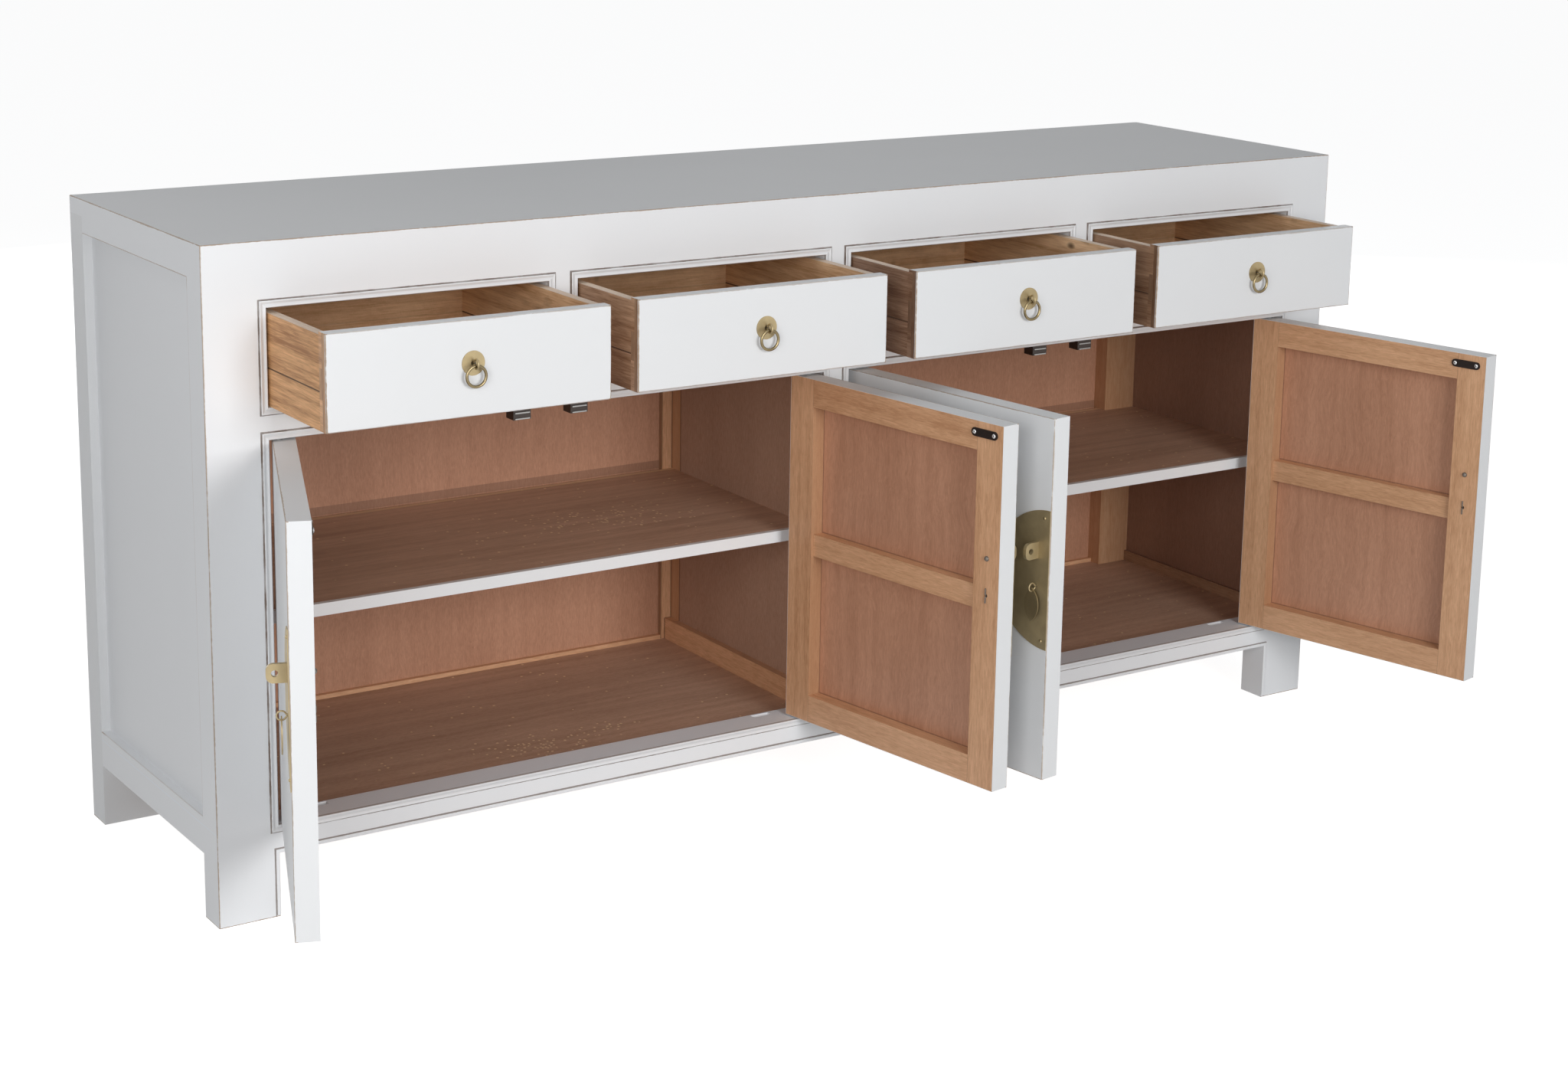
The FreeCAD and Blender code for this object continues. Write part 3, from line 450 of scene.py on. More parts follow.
def carcass_lacquer(name, sizes, colours, stained_and_shaded_inside=False):
    """White lacquer of the carcass: worn outer edges, dark lines beside the beads and round the side panels, painted
    shade in the beads' hollows, along the openings and inside, and painted light on all but the top.
    """
    finish = Finish(name)
    x, y, z = finish.split(finish.coords)
    width = wear_width(finish, sizes.wear)
    edges = finish.edge_lines(finish.coords, BODY_LOW, BODY_HIGH, width)
    outside = outside_openings(finish, x, z, front_openings(sizes))
    front = finish.step(y, 0.002, 0.0005)
    rubbed = finish.step(finish.noise(finish.coords, 31.0, 3.0), 0.30, 0.62)
    beside = finish.times(finish.near(outside, sizes.bead_width, finish.times(width, 0.55)), front,
                          finish.blend(rubbed, 0.6, 1.0))
    # A dark line of painted shadow along each opening's edge, in the gap between bead and opening
    seam = finish.times(finish.near(outside, 0.0001, 0.0002), front)
    # The beads have two ridges with a hollow between
    half = sizes.bead_width / 2
    on_bead = finish.times(finish.near(outside, half, half - 0.0006), front)
    wave = finish.math("COSINE", finish.times(finish.minus(outside, sizes.bead_ridge),
                                              math.pi / (half - sizes.bead_ridge)))
    moulding = finish.times(wave, on_bead)
    # Painted shade darkens the hollow
    hollow_shade = finish.times(finish.step(wave, 0.2, -1.0), on_bead)
    # The line over the bead that runs under the bottom rail and down the legs
    from_middle = finish.off(x, MIDDLE)
    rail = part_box("front_rails")[0]
    off_apron = finish.most(finish.minus(from_middle, MIDDLE - rail[0]), finish.minus(z, rail[2]))
    apron = finish.times(finish.near(off_apron, APRON_BEAD, finish.times(width, 0.45)), front)
    # The line in the recess of a side panel is dark over it and behind it, and faint before and under it
    near_side, far_side = SIDE_RAILS[0][1], SIDE_RAILS[1][1]
    under, over = SIDE_PANELS[0][2], SIDE_PANELS[1][2]
    off_panel = finish.most(finish.beyond(y, near_side, far_side), finish.beyond(z, under, over))
    at_side = finish.step(from_middle, MIDDLE - 0.0016, MIDDLE - 0.0008)
    strong = finish.most(finish.step(z, over - 0.02, over - 0.005), finish.step(y, far_side - 0.02, far_side - 0.005))
    recess = finish.times(finish.near(off_panel, 0.0, finish.times(width, 0.6)), at_side,
                          finish.blend(strong, 0.35, 1.0))
    # All but the top carries painted light, a little whiter than the top
    upward = finish.step(z, BODY_HIGH.z - 0.0006, BODY_HIGH.z - 0.0002)
    colour = finish.mix(upward, lacquer_colour(finish, colours, CARCASS_PAINTED_LIGHT), lacquer_colour(finish, colours))
    # Painted light on the sill: a cooler, paler white
    sill_light = finish.times(finish.near(z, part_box("back_panels")[0][2], 0.0003), finish.step(y, 0.001, 0.003))
    colour = finish.mix(sill_light, colour, lacquer_colour(finish, colours, SILL_PAINTED_LIGHT))
    for line, strength, shade in ((edges, 0.85, colours.bared), (recess, 0.8, colours.bared),
                                  (hollow_shade, 0.10, colours.groove), (beside, 0.9, colours.groove),
                                  (seam, 0.6, colours.groove), (apron, 0.7, colours.groove)):
        colour = finish.mix(finish.times(line, strength), colour, shade)
    if stained_and_shaded_inside:
        # Inside the cupboards the panels and rails show stained wood, darkened by painted shade
        wood, _ = finish.wood(finish.coords, 2, tinted(colours.red, SIDE_PAINTED_SHADE), tinted(colours.red_dark, SIDE_PAINTED_SHADE),
                              streaky=PANEL_STREAKS, **PLYWOOD)
        honey, _ = finish.wood(finish.coords, 1, tinted(colours.honey, SIDE_RAIL_PAINTED_SHADE),
                               tinted(colours.honey_dark, SIDE_RAIL_PAINTED_SHADE), seed=3.0)
        above = finish.step(z, *OVER_FLOOR)
        # Both begin just under the inner faces of the panels and of the rails
        panel_face, rail_face = MIDDLE - SIDE_PANELS[0][0] - 0.0075, MIDDLE - 0.0248
        inside_panel = finish.step(from_middle, panel_face, panel_face - 0.0002)
        inside_rail = finish.step(from_middle, rail_face + 0.0001, rail_face)
        colour = finish.mix(finish.times(inside_panel, above), colour, wood)
        colour = finish.mix(finish.times(inside_rail, above), colour, honey)
    return finish.surface(colour, finish.blend(upward, 0.42, 0.66), lacquer_height(finish), depth=0.0001,
                          strength=0.25, moulding=None if stained_and_shaded_inside else moulding)


def back_leg_finish(sizes, colours):
    """The back legs: lacquer outside, honey wood where they stand inside the cupboards."""
    finish = Finish("back_leg_lacquer")
    x, y, z = finish.split(finish.coords)
    edges = finish.edge_lines(finish.coords, BODY_LOW, BODY_HIGH, wear_width(finish, sizes.wear))
    colour = finish.mix(finish.times(edges, 0.8), lacquer_colour(finish, colours), colours.bared)
    honey, _ = finish.wood(finish.coords, 2, colours.honey * 0.8, colours.honey_dark, seed=5.0)
    # Their front and inner faces are stained, but for a strip along the side of the body
    from_middle = finish.off(x, MIDDLE)
    inner = finish.most(finish.step(y, 0.4053, 0.4051), finish.step(from_middle, MIDDLE - 0.0797, MIDDLE - 0.0799))
    inside = finish.times(inner, finish.step(z, *OVER_FLOOR),
                          finish.step(from_middle, MIDDLE - 0.0198, MIDDLE - 0.0200))
    colour = finish.mix(inside, colour, honey)
    return finish.surface(colour, 0.45, lacquer_height(finish), depth=0.0001, strength=0.25)


def plywood(name, along, colours, seed=0.0, stain=PLAIN, streaky=0.5, dust=()):
    """Stained plywood of a panel or floor, under a tint of painted skylight where one is given, with painted shade
    just over the shelves.
    """
    finish = Finish(name)
    light, dark = tinted(colours.red, stain), tinted(colours.red_dark, stain)
    colour, height = finish.wood(finish.coords, along, light, dark, streaky=streaky, warp=0.012, seed=seed, **PLYWOOD)
    # Close over the shelves the face of a back panel is darkened by painted shade, for the dark of their gap
    _, y, z = finish.split(finish.coords)
    shelf_shade = finish.times(finish.near(z, SHELVES[1][2] + 0.006, 0.006),
                              finish.step(y, SHELVES[1][1] + 0.0095, SHELVES[1][1] + 0.0090), 0.5)
    colour = finish.mix(shelf_shade, colour, dark * 0.4)
    if dust:
        colour = finish.sawdust(colour, dust)
    return finish.surface(colour, 0.55, height, depth=0.0001, strength=0.35)


def shelf_finish(colours):
    """Plywood shelves, tinted with painted skylight, with white lacquered front edges."""
    finish = Finish("shelf_plywood")
    _, y, _ = finish.split(finish.coords)
    wood, height = finish.wood(finish.coords, 0, tinted(colours.red, FLOOR_SKYLIGHT_TINT),
                               tinted(colours.red_dark, FLOOR_SKYLIGHT_TINT), streaky=FLOOR_STREAKS, seed=2.0)
    # A pale line of bare wood along the back edge
    bare = finish.step(y, SHELVES[1][1] - 0.0100, SHELVES[1][1] - 0.0090)
    wood = finish.mix(finish.times(bare, 0.8), wood, BARE_EDGE)
    wood = finish.sawdust(wood, SHELF_DUST)
    seam = SHELVES[0][1] + SHELF_EDGE
    colour = finish.mix(finish.step(y, seam + 0.0002, seam - 0.0001), wood, lacquer_colour(finish, colours))
    return finish.surface(colour, 0.5, height, depth=0.0001, strength=0.25)


def honey_frame(name, colours):
    """Honey-brown rails and posts: grain along each piece."""
    finish = Finish(name)
    x, _, _ = finish.split(finish.coords)
    level, _ = finish.wood(finish.coords, 0, colours.honey, colours.honey_dark)
    upright, height = finish.wood(finish.coords, 2, colours.honey, colours.honey_dark, seed=4.0)
    off = finish.off(x, MIDDLE)
    post = finish.step(off, POST_HALF + 0.0002, POST_HALF - 0.0001)
    seam = finish.times(finish.near(off, POST_HALF - 0.0004, 0.0008), 0.6)
    colour = finish.mix(seam, finish.mix(post, level, upright), colours.honey_dark * 0.3)
    return finish.surface(colour, 0.5, height, depth=0.0001, strength=0.35)


def partition_finish(colours):
    """The partition: honey rails under and over a plywood panel tinted with painted shade, and a stile at its far
    end.
    """
    finish = Finish("partition_wood")
    _, y, z = finish.split(finish.coords)
    rail, _ = finish.wood(finish.coords, 1, colours.honey, colours.honey_dark)
    panel, height = finish.wood(finish.coords, 2, tinted(colours.red, CROSS_SHADE_TINT),
                                tinted(colours.red_dark, CROSS_SHADE_TINT), streaky=PANEL_STREAKS, seed=6.0, **PLYWOOD)
    stile, _ = finish.wood(finish.coords, 2, colours.honey * 0.75, colours.honey_dark, seed=7.0)
    low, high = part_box("partition")
    rails = finish.ends(z, low[2], high[2], PARTITION_RAIL)
    far = high[1] - PARTITION_STILE
    colour = finish.mix(rails, finish.mix(finish.step(y, far, far + 0.0003), panel, stile), rail)
    # Dark lines before and behind the stile, and painted shade in the corner at its far end
    line = finish.times(finish.near(y, far, 0.0012), finish.minus(1.0, rails))
    line_and_corner_shade = finish.most(line, finish.step(y, high[1] - 0.0045, high[1] - 0.0010))
    colour = finish.mix(finish.times(line_and_corner_shade, 0.7), colour, colours.red_dark * 0.3)
    return finish.surface(colour, 0.5, height, depth=0.0001, strength=0.3)


def drawer_front_finish(number, sizes, colours):
    """A lacquered drawer front with worn edges; its ends are bare wood, lapped by the sides."""
    finish = Finish(f"drawer_{number}_lacquer")
    low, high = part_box(f"drawer_{number}_front")
    x, y, z = finish.split(finish.coords)
    edges = finish.edge_lines(finish.coords, low, high, finish.times(wear_width(finish, sizes.wear), 1.2))
    # How far across the ends are; the short upright edges are rubbed more than the long ones
    across = finish.beyond(x, low[0], high[0])
    upright = finish.step(across, -0.004, -0.002)
    bared = finish.times(edges, finish.step(y, low[1] + 0.004, low[1] + 0.003), finish.blend(upright, 0.45, 0.95))
    colour = finish.mix(bared, lacquer_colour(finish, colours), colours.bared)
    # Per drawer, the wood carries painted light and shade
    stain = DRAWER_LIGHT_AND_SHADE[number - 1]
    light, dark = tinted(colours.fir, stain), tinted(colours.fir_dark, stain)
    front_wood, _ = finish.wood(finish.coords, 2, light * 0.66, dark * 0.8, late=0.3, seed=number)
    side_wood, _ = finish.wood(finish.coords, 1, light, dark, seed=1.3 * number, **FIR)
    ends = finish.times(finish.step(across, -0.0009, -0.0005), finish.step(y, low[1] + 0.001, low[1] + 0.003))
    lapped = finish.times(finish.step(y, low[1] + LAP_FRONT - 0.0005, low[1] + LAP_FRONT), finish.most(
        finish.step(z, low[2] + LAPS[0] + 0.0005, low[2] + LAPS[0]),
        finish.step(z, low[2] + LAPS[1] - 0.0005, low[2] + LAPS[1])))
    colour = finish.mix(ends, colour, finish.mix(lapped, front_wood, side_wood))
    colour = finish.mix(finish.step(y, high[1] - 0.0004, high[1] - 0.0002), colour, side_wood)
    return finish.surface(colour, 0.42, lacquer_height(finish), depth=0.0001, strength=0.25, coat=0.08)


def drawer_box_finish(number, colours):
    """Fir of the drawer boxes: knots, a glue line along each side, grain along each board, painted light and shade
    outside and painted light inside.
    """
    finish = Finish(f"drawer_{number}_fir")
    low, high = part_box(f"drawer_{number}_sides")
    x, y, z = finish.split(finish.coords)
    # Per drawer, painted light and shade on the outer wood
    stain = DRAWER_LIGHT_AND_SHADE[number - 1]
    # The lower board of each side is glued on, so its grain differs
    line = low[2] + 0.41 * (high[2] - low[2])
    lower = finish.step(z, line + 0.0001, line - 0.0001)
    shifted = finish.vector("ADD", finish.coords, finish.node("ShaderNodeCombineXYZ", {
        0: finish.times(lower, 0.37), 1: finish.times(lower, 0.9), 2: 0.0}).outputs[0])
    sides, height = finish.wood(shifted, 1, tinted(colours.fir, stain), tinted(colours.fir_dark, stain), knots=15.0,
                                seed=1.3 * number, **FIR)
    # Inside, painted light: the fir is made paler, for the light from above
    inner = tinted(colours.fir, LINING_PAINTED_LIGHT), tinted(colours.fir_dark, LINING_DARK_PAINTED_LIGHT)
    lining, _ = finish.wood(shifted, 1, *inner, seed=1.3 * number, **LINING)
    back, _ = finish.wood(finish.coords, 0, *inner, seed=0.7 * number, **LINING)
    behind = finish.step(y, high[1] - DRAWER_SIDE - 0.0002, high[1] - DRAWER_SIDE + 0.0001)
    across = finish.beyond(x, low[0], high[0])
    between = finish.step(across, 0.0001 - DRAWER_SIDE, -0.0001 - DRAWER_SIDE)
    colour = finish.mix(finish.step(across, -0.0010, -0.0012), sides, lining)
    colour = finish.mix(finish.times(behind, between), colour, back)
    glue = finish.times(finish.near(z, line, 0.0008), finish.minus(0.9, behind))
    colour = finish.mix(glue, colour, GLUE)
    # The top edges are paler, where paint dust lies
    dust = finish.math("ADD", finish.times(finish.noise(finish.coords, 300.0, 3.0), 0.6), 0.25)
    top = finish.times(finish.step(z, high[2] - 0.0006, high[2] - 0.0001), dust)
    colour = finish.mix(top, colour, PAINT_DUST)
    return finish.surface(colour, 0.6, finish.minus(height, glue), depth=0.0004, strength=0.4)


def door_space(number):
    """A door's pivot, its turn at rest and which way it is hung, from its joint."""
    joint = JOINTS[f"door_{number}_hinge"]
    opened = math.radians(-joint["range_deg"][0])
    side = -joint["axis"][2]
    return Vector((joint["pos_m"][0], joint["pos_m"][1], 0.0)), -side * opened, side


def door_box(number):
    """A door's corners in its own space: from hinge edge to free edge, front to back, bottom to top."""
    pivot, turn, side = door_space(number)
    back = Matrix.Rotation(-turn, 4, "Z") @ Matrix.Translation(-pivot)
    spots = [back @ vertex.co for node in ("board", "frame")
             for vertex in frame["nodes"][f"door_{number}_{node}"].data.vertices]
    spots = [Vector((side * spot.x, spot.y, spot.z)) for spot in spots]
    return (Vector([min(spot[axis] for spot in spots) for axis in range(3)]),
            Vector([max(spot[axis] for spot in spots) for axis in range(3)]))


def door_finishes(number, sizes, colours):
    """The finishes of a door's board and frame: white outside and on every edge, stained wood inside."""
    pivot, turn, side = door_space(number)
    low, high = door_box(number)
    made = []
    for part in ("board", "frame"):
        finish = Finish(f"door_{number}_{part}_finish")
        local = finish.turned(pivot, turn, side)
        x, y, z = finish.split(local)
        edges = finish.edge_lines(local, low, high, wear_width(finish, sizes.wear))
        front = finish.step(y, low.y + 0.004, low.y + 0.003)
        white = finish.mix(finish.times(edges, front, 0.75), lacquer_colour(finish, colours), colours.bared)
        rim = finish.step(finish.most(finish.beyond(x, low.x, high.x), finish.beyond(z, low.z, high.z)),
                          -0.0005, -0.0003)
        # How far a point is over a stile or a rail, and negative on the panel
        over_stile = finish.beyond(x, low.x + DOOR_STILE, high.x - DOOR_STILE)
        over_rail = finish.beyond(z, low.z + DOOR_RAIL, high.z - DOOR_RAIL)
        if part == "board":
            wood, height = finish.wood(local, 2, colours.red, colours.red_dark, late=0.08, streaky=0.9, length=0.12,
                                       warp=0.03, seed=0.6 * number)
            # A dark line of painted shade where the frame and its bar meet the panel
            bar = (low.z + high.z) / 2 + BAR_LIFT
            inset = finish.least(finish.times(finish.most(over_stile, over_rail), -1.0),
                                 finish.beyond(z, bar - BAR_HEIGHT / 2, bar + BAR_HEIGHT / 2))
            crevice_shade = finish.times(finish.step(inset, 0.0022, 0.0008), 0.6)
            wood = finish.mix(crevice_shade, wood, colours.red_dark * 0.35)
            inside = finish.times(finish.step(y, -0.0004, -0.0002), finish.minus(1.0, rim))
            colour = finish.mix(inside, white, wood)
        else:
            level, _ = finish.wood(local, 0, colours.honey, colours.honey_dark, seed=0.4 * number)
            upright, height = finish.wood(local, 2, colours.honey, colours.honey_dark, seed=0.9 * number)
            wood = finish.mix(finish.ends(x, low.x, high.x, DOOR_STILE), level, upright)
            # Joints between stiles and rails hold a little dirt
            seam = finish.step(finish.math("ABSOLUTE", over_stile), 0.0006, 0.0002)
            wood = finish.mix(finish.times(seam, 0.45), wood, colours.honey_dark * 0.5)
            colour = finish.mix(rim, wood, white)
        made.append(finish.surface(colour, 0.45, height, depth=0.0001, strength=0.3))
    return made


def brass_finish(name, colours, shade=1.0, roughness=0.38, metallic=1.0, door=None):
    """Antique brass, a little scratched. Behind a door, the ends of its fasteners are dull steel."""
    finish = Finish(name)
    tone = finish.noise(finish.coords, 60.0, 3.0)
    fine = finish.noise(finish.coords, 1500.0, 2.0)
    brass = colours.brass * shade
    colour = finish.mix(finish.step(tone, 0.3, 0.75), brass * 0.84, brass)
    if door:
        pivot, turn, side = door_space(door)
        y = finish.split(finish.turned(pivot, turn, side))[1]
        colour = finish.mix(finish.step(y, 0.0, 0.001), colour, PIN_ENDS)
    rough = finish.blend(tone, roughness - 0.06, roughness + 0.06)
    return finish.surface(colour, rough, fine, depth=0.00003, strength=0.25, metallic=metallic)


def metal_finish(name, colour, roughness, metallic=1.0):
    """Plain metal or moulded plastic with a fine grain."""
    finish = Finish(name)
    tone = finish.noise(finish.coords, 300.0, 3.0)
    shaded = finish.mix(tone, Vector(colour) * 0.75, colour)
    return finish.surface(shaded, roughness, finish.noise(finish.coords, 900.0, 2.0), depth=0.00005,
                          strength=0.2, metallic=metallic)


def catch_finish():
    """Dark plastic cases; the pole strips in front are bright steel."""
    finish = Finish("catch_plastic_and_steel")
    _, y, _ = finish.split(finish.coords)
    # Just behind the front faces of the strips
    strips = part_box("magnetic_catches")[0][1] + 0.00135
    poles = finish.step(y, strips + 0.00001, strips - 0.00001)
    tone = finish.noise(finish.coords, 300.0, 2.0)
    colour = finish.mix(poles, finish.mix(tone, *CATCH_CASE), CATCH_POLES)
    return finish.surface(colour, 0.36, tone, depth=0.00005, strength=0.2, metallic=poles)


def dress(node, *materials):
    """Give a node of the frame its finish."""
    mesh = frame["nodes"][node].data
    mesh.materials.clear()
    for material in materials:
        mesh.materials.append(material)


def mesh_object(name, mesh):
    """A new object in the scene."""
    made = bpy.data.objects.new(name, mesh)
    bpy.context.scene.collection.objects.link(made)
    return made


def head_mesh(name, radius, rise, recess):
    """A domed head about +Z: its rim sits at zero, and a cross is sunk in it where recess is given."""
    rings, sides = 6, 24
    built = bmesh.new()
    profile = [(radius, 0.0), (radius, 0.18 * rise)]
    profile += [(radius * math.cos(turn), rise * (0.18 + 0.82 * math.sin(turn)))
                for turn in [math.pi / 2 * step / rings for step in range(1, rings)]]
    loops = []
    for out, up in profile:
        loops.append([built.verts.new((out * math.cos(2 * math.pi * step / sides),
                                       out * math.sin(2 * math.pi * step / sides), up)) for step in range(sides)])
    for lower, upper in zip(loops, loops[1:]):
        for step in range(sides):
            built.faces.new((lower[step], lower[(step + 1) % sides], upper[(step + 1) % sides], upper[step]))
    top = built.verts.new((0, 0, rise))
    for step in range(sides):
        built.faces.new((loops[-1][step], loops[-1][(step + 1) % sides], top))
    base = built.verts.new((0, 0, 0))
    for step in range(sides):
        built.faces.new((loops[0][(step + 1) % sides], loops[0][step], base))
    mesh = bpy.data.meshes.new(name)
    built.to_mesh(mesh)
    built.free()
    if recess:
        head = mesh_object(name + "_blank", mesh)
        for turn in (0.0, math.pi / 2):
            blade = bmesh.new()
            bmesh.ops.create_cube(blade, size=1.0)
            place = (Matrix.Rotation(turn, 4, "Z") @ Matrix.Translation((0, 0, rise))
                     @ Matrix.Diagonal((radius * 1.15, radius * 0.24, recess * 2, 1)))
            bmesh.ops.transform(blade, matrix=place, verts=blade.verts)
            cutter_mesh = bpy.data.meshes.new(name + "_slot")
            blade.to_mesh(cutter_mesh)
            blade.free()
            cutter = mesh_object(name + "_cutter", cutter_mesh)
            modifier = head.modifiers.new("slot", "BOOLEAN")
            modifier.object = cutter
            modifier.operation = "DIFFERENCE"
            modifier.solver = "EXACT"
            depsgraph = bpy.context.evaluated_depsgraph_get()
            cut_mesh = bpy.data.meshes.new_from_object(head.evaluated_get(depsgraph))
            head.modifiers.clear()
            head.data = cut_mesh
            bpy.data.objects.remove(cutter)
        mesh = head.data
        bpy.data.objects.remove(head)
    return mesh


def fastener_tree(name, head, material):
    """Geometry nodes: one head at each point, turned the way the point's normal looks."""
    tree = bpy.data.node_groups.new(name, "GeometryNodeTree")
    tree.interface.new_socket("Geometry", in_out="INPUT", socket_type="NodeSocketGeometry")
    size = tree.interface.new_socket("Size", in_out="INPUT", socket_type="NodeSocketFloat")
    size.default_value = 1.0
    spread = tree.interface.new_socket("Turn Spread", in_out="INPUT", socket_type="NodeSocketFloat")
    spread.default_value = TURN_SPREAD
    tree.interface.new_socket("Geometry", in_out="OUTPUT", socket_type="NodeSocketGeometry")
    given = add_node(tree, "NodeGroupInput").outputs
    source = add_node(tree, "GeometryNodeObjectInfo", {"Object": head}).outputs
    way = add_node(tree, "GeometryNodeInputNamedAttribute", {"Name": "way_out"}, data_type="FLOAT_VECTOR").outputs
    align = add_node(tree, "FunctionNodeAlignRotationToVector", {"Vector": way["Attribute"]}, axis="Z").outputs
    turn = add_node(tree, "FunctionNodeRandomValue", {3: given["Turn Spread"], "Seed": 7}, data_type="FLOAT").outputs
    spin = add_node(tree, "FunctionNodeAxisAngleToRotation", {"Axis": (0, 0, 1), "Angle": turn[1]}).outputs
    facing = add_node(tree, "FunctionNodeRotateRotation", {"Rotation": align[0], "Rotate By": spin[0]},
                      rotation_space="LOCAL").outputs
    heads = add_node(tree, "GeometryNodeInstanceOnPoints", {
        "Points": given["Geometry"], "Instance": source["Geometry"], "Rotation": facing[0],
        "Scale": given["Size"]}).outputs
    realized = add_node(tree, "GeometryNodeRealizeInstances", {0: heads[0]}).outputs
    painted = add_node(tree, "GeometryNodeSetMaterial", {"Geometry": realized[0], "Material": material}).outputs
    add_node(tree, "NodeGroupOutput", {0: painted[0]})
    return tree, size.identifier, spread.identifier


def fasteners(name, head, material, places, size, body):
    """Heads of one kind on one body, made a plain mesh."""
    mesh = bpy.data.meshes.new(name)
    mesh.from_pydata([spot for spot, _ in places], [], [])
    ways = mesh.attributes.new("way_out", "FLOAT_VECTOR", "POINT")
    for entry, (_, way) in zip(ways.data, places):
        entry.vector = way
    made = mesh_object(name, mesh)
    tree, size_input, spread_input = fastener_tree(name + "_nodes", head, material)
    modifier = made.modifiers.new("heads", "NODES")
    modifier.node_group = tree
    modifier[size_input] = size
    modifier[spread_input] = TURN_SPREAD
    depsgraph = bpy.context.evaluated_depsgraph_get()
    plain = bpy.data.meshes.new_from_object(made.evaluated_get(depsgraph))
    made.modifiers.clear()
    made.data = plain
    for polygon in plain.polygons:
        polygon.use_smooth = True
    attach(made, body)
    return made


def door_spot(number, along, through, height):
    """A place on a door, given in the door's own space, as the door stands at rest."""
    pivot, turn, side = door_space(number)
    return pivot + Matrix.Rotation(turn, 3, "Z") @ Vector((side * along, through, height))


class SIDEBOARD_OT_stage(bpy.types.Operator):
    """Set the camera, the floor and the studio light"""
    bl_idname = "sideboard.stage"
    bl_label = "Stage"

    def execute(self, context):
        sizes, colours = context.scene.sideboard_sizes, context.scene.sideboard_colours
        scene = context.scene
        scene.view_settings.view_transform = "Standard"
        camera_data = bpy.data.cameras.new("camera")
        camera_data.lens = sizes.lens
        camera_data.sensor_width = 36
        camera_data.shift_x, camera_data.shift_y = CAMERA_SHIFT
        camera = bpy.data.objects.new("camera", camera_data)
        right, ahead = Vector(CAMERA_RIGHT).normalized(), Vector(CAMERA_AHEAD).normalized()
        up = right.cross(ahead).normalized()
        turn = Matrix((right, up, -ahead)).transposed()
        camera.matrix_world = Matrix.Translation(CAMERA_SPOT) @ turn.to_4x4()
        scene.collection.objects.link(camera)
        scene.camera = camera
        self.floor(colours)
        self.lights()
        return {"FINISHED"}

    def floor(self, colours):
        """A pale floor that keeps the shadow and shows white to the camera."""
        mesh = bpy.data.meshes.new("floor")
        middle = (BODY_LOW + BODY_HIGH) / 2
        mesh.from_pydata([(middle.x + FLOOR_REACH * a, middle.y + FLOOR_REACH * b, -0.0004)
                          for a, b in ((-1, -1), (1, -1), (1, 1), (-1, 1))], [], [(0, 1, 2, 3)])
        floor = mesh_object("floor", mesh)
        finish = Finish("pale_floor")
        seen = finish.node("ShaderNodeLightPath").outputs
        plain = finish.node("ShaderNodeBsdfDiffuse", {"Color": rgba(colours.stage)}).outputs[0]
        glow = finish.node("ShaderNodeEmission", {"Color": WHITE, "Strength": FLOOR_GLOW}).outputs[0]
        both = finish.node("ShaderNodeAddShader", {0: glow, 1: plain}).outputs[0]
        view = finish.most(seen["Is Camera Ray"], seen["Is Glossy Ray"])
        mixed = finish.node("ShaderNodeMixShader", {0: view, 1: plain, 2: both}).outputs[0]
        finish.node("ShaderNodeOutputMaterial", {"Surface": mixed})
        mesh.materials.append(finish.material)

    def lights(self):
        """A broad key from the front, fills from the left, above and behind, and a pale room."""
        for name, spot, target, power, width, height in LAMPS:
            data = bpy.data.lights.new(name, "AREA")
            data.shape = "RECTANGLE"
            data.size = width
            data.size_y = height
            data.energy = power
            lamp = bpy.data.objects.new(name, data)
            lamp.visible_camera = False
            way = Vector(target) - Vector(spot)
            lamp.matrix_world = Matrix.Translation(spot) @ way.to_track_quat("-Z", "Y").to_matrix().to_4x4()
            bpy.context.scene.collection.objects.link(lamp)
        world = bpy.data.worlds.new("studio")
        bpy.context.scene.world = world
        world.use_nodes = True
        tree = world.node_tree
        tree.nodes.clear()
        seen = add_node(tree, "ShaderNodeLightPath").outputs
        room = add_node(tree, "ShaderNodeBackground", {"Color": ROOM, "Strength": ROOM_LIGHT}).outputs[0]
        white = add_node(tree, "ShaderNodeBackground", {"Color": WHITE, "Strength": 1.0}).outputs[0]
        straight = add_node(tree, "ShaderNodeMath", {0: seen["Is Camera Ray"], 1: seen["Is Transmission Ray"]},
                            operation="MAXIMUM").outputs[0]
        shown = add_node(tree, "ShaderNodeMath", {0: straight, 1: seen["Is Glossy Ray"]},
                         operation="MAXIMUM").outputs[0]
        mixed = add_node(tree, "ShaderNodeMixShader", {0: shown, 1: room, 2: white}).outputs[0]
        add_node(tree, "ShaderNodeOutputWorld", {"Surface": mixed})


class SIDEBOARD_OT_carcass(bpy.types.Operator):
    """Lacquer the carcass and stain its inside"""
    bl_idname = "sideboard.carcass"
    bl_label = "Carcass"

    def execute(self, context):
        sizes, colours = context.scene.sideboard_sizes, context.scene.sideboard_colours
        white = carcass_lacquer("carcass_lacquer", sizes, colours)
        for node in ("top_board", "leg_front_left", "leg_front_right", "front_rails", "front_dividers",
                     "opening_beads"):
            dress(node, white)
        side = carcass_lacquer("side_lacquer", sizes, colours, stained_and_shaded_inside=True)
        for node in ("side_frames", "side_panels"):
            dress(node, side)
        dress("legs_back", back_leg_finish(sizes, colours))
        dress("back_frame", honey_frame("back_frame_wood", colours))
        dress("back_panels", plywood("back_plywood", 2, colours, seed=1.0))
        dress("partition", partition_finish(colours))
        dress("floor_boards", plywood("floor_plywood", 0, colours, 8.0, FLOOR_SKYLIGHT_TINT, FLOOR_STREAKS, FLOOR_DUST))
        dress("shelves", shelf_finish(colours))
        dress("drawer_runners", honey_frame("runner_wood", colours))
        dress("magnetic_catches", catch_finish())
        return {"FINISHED"}


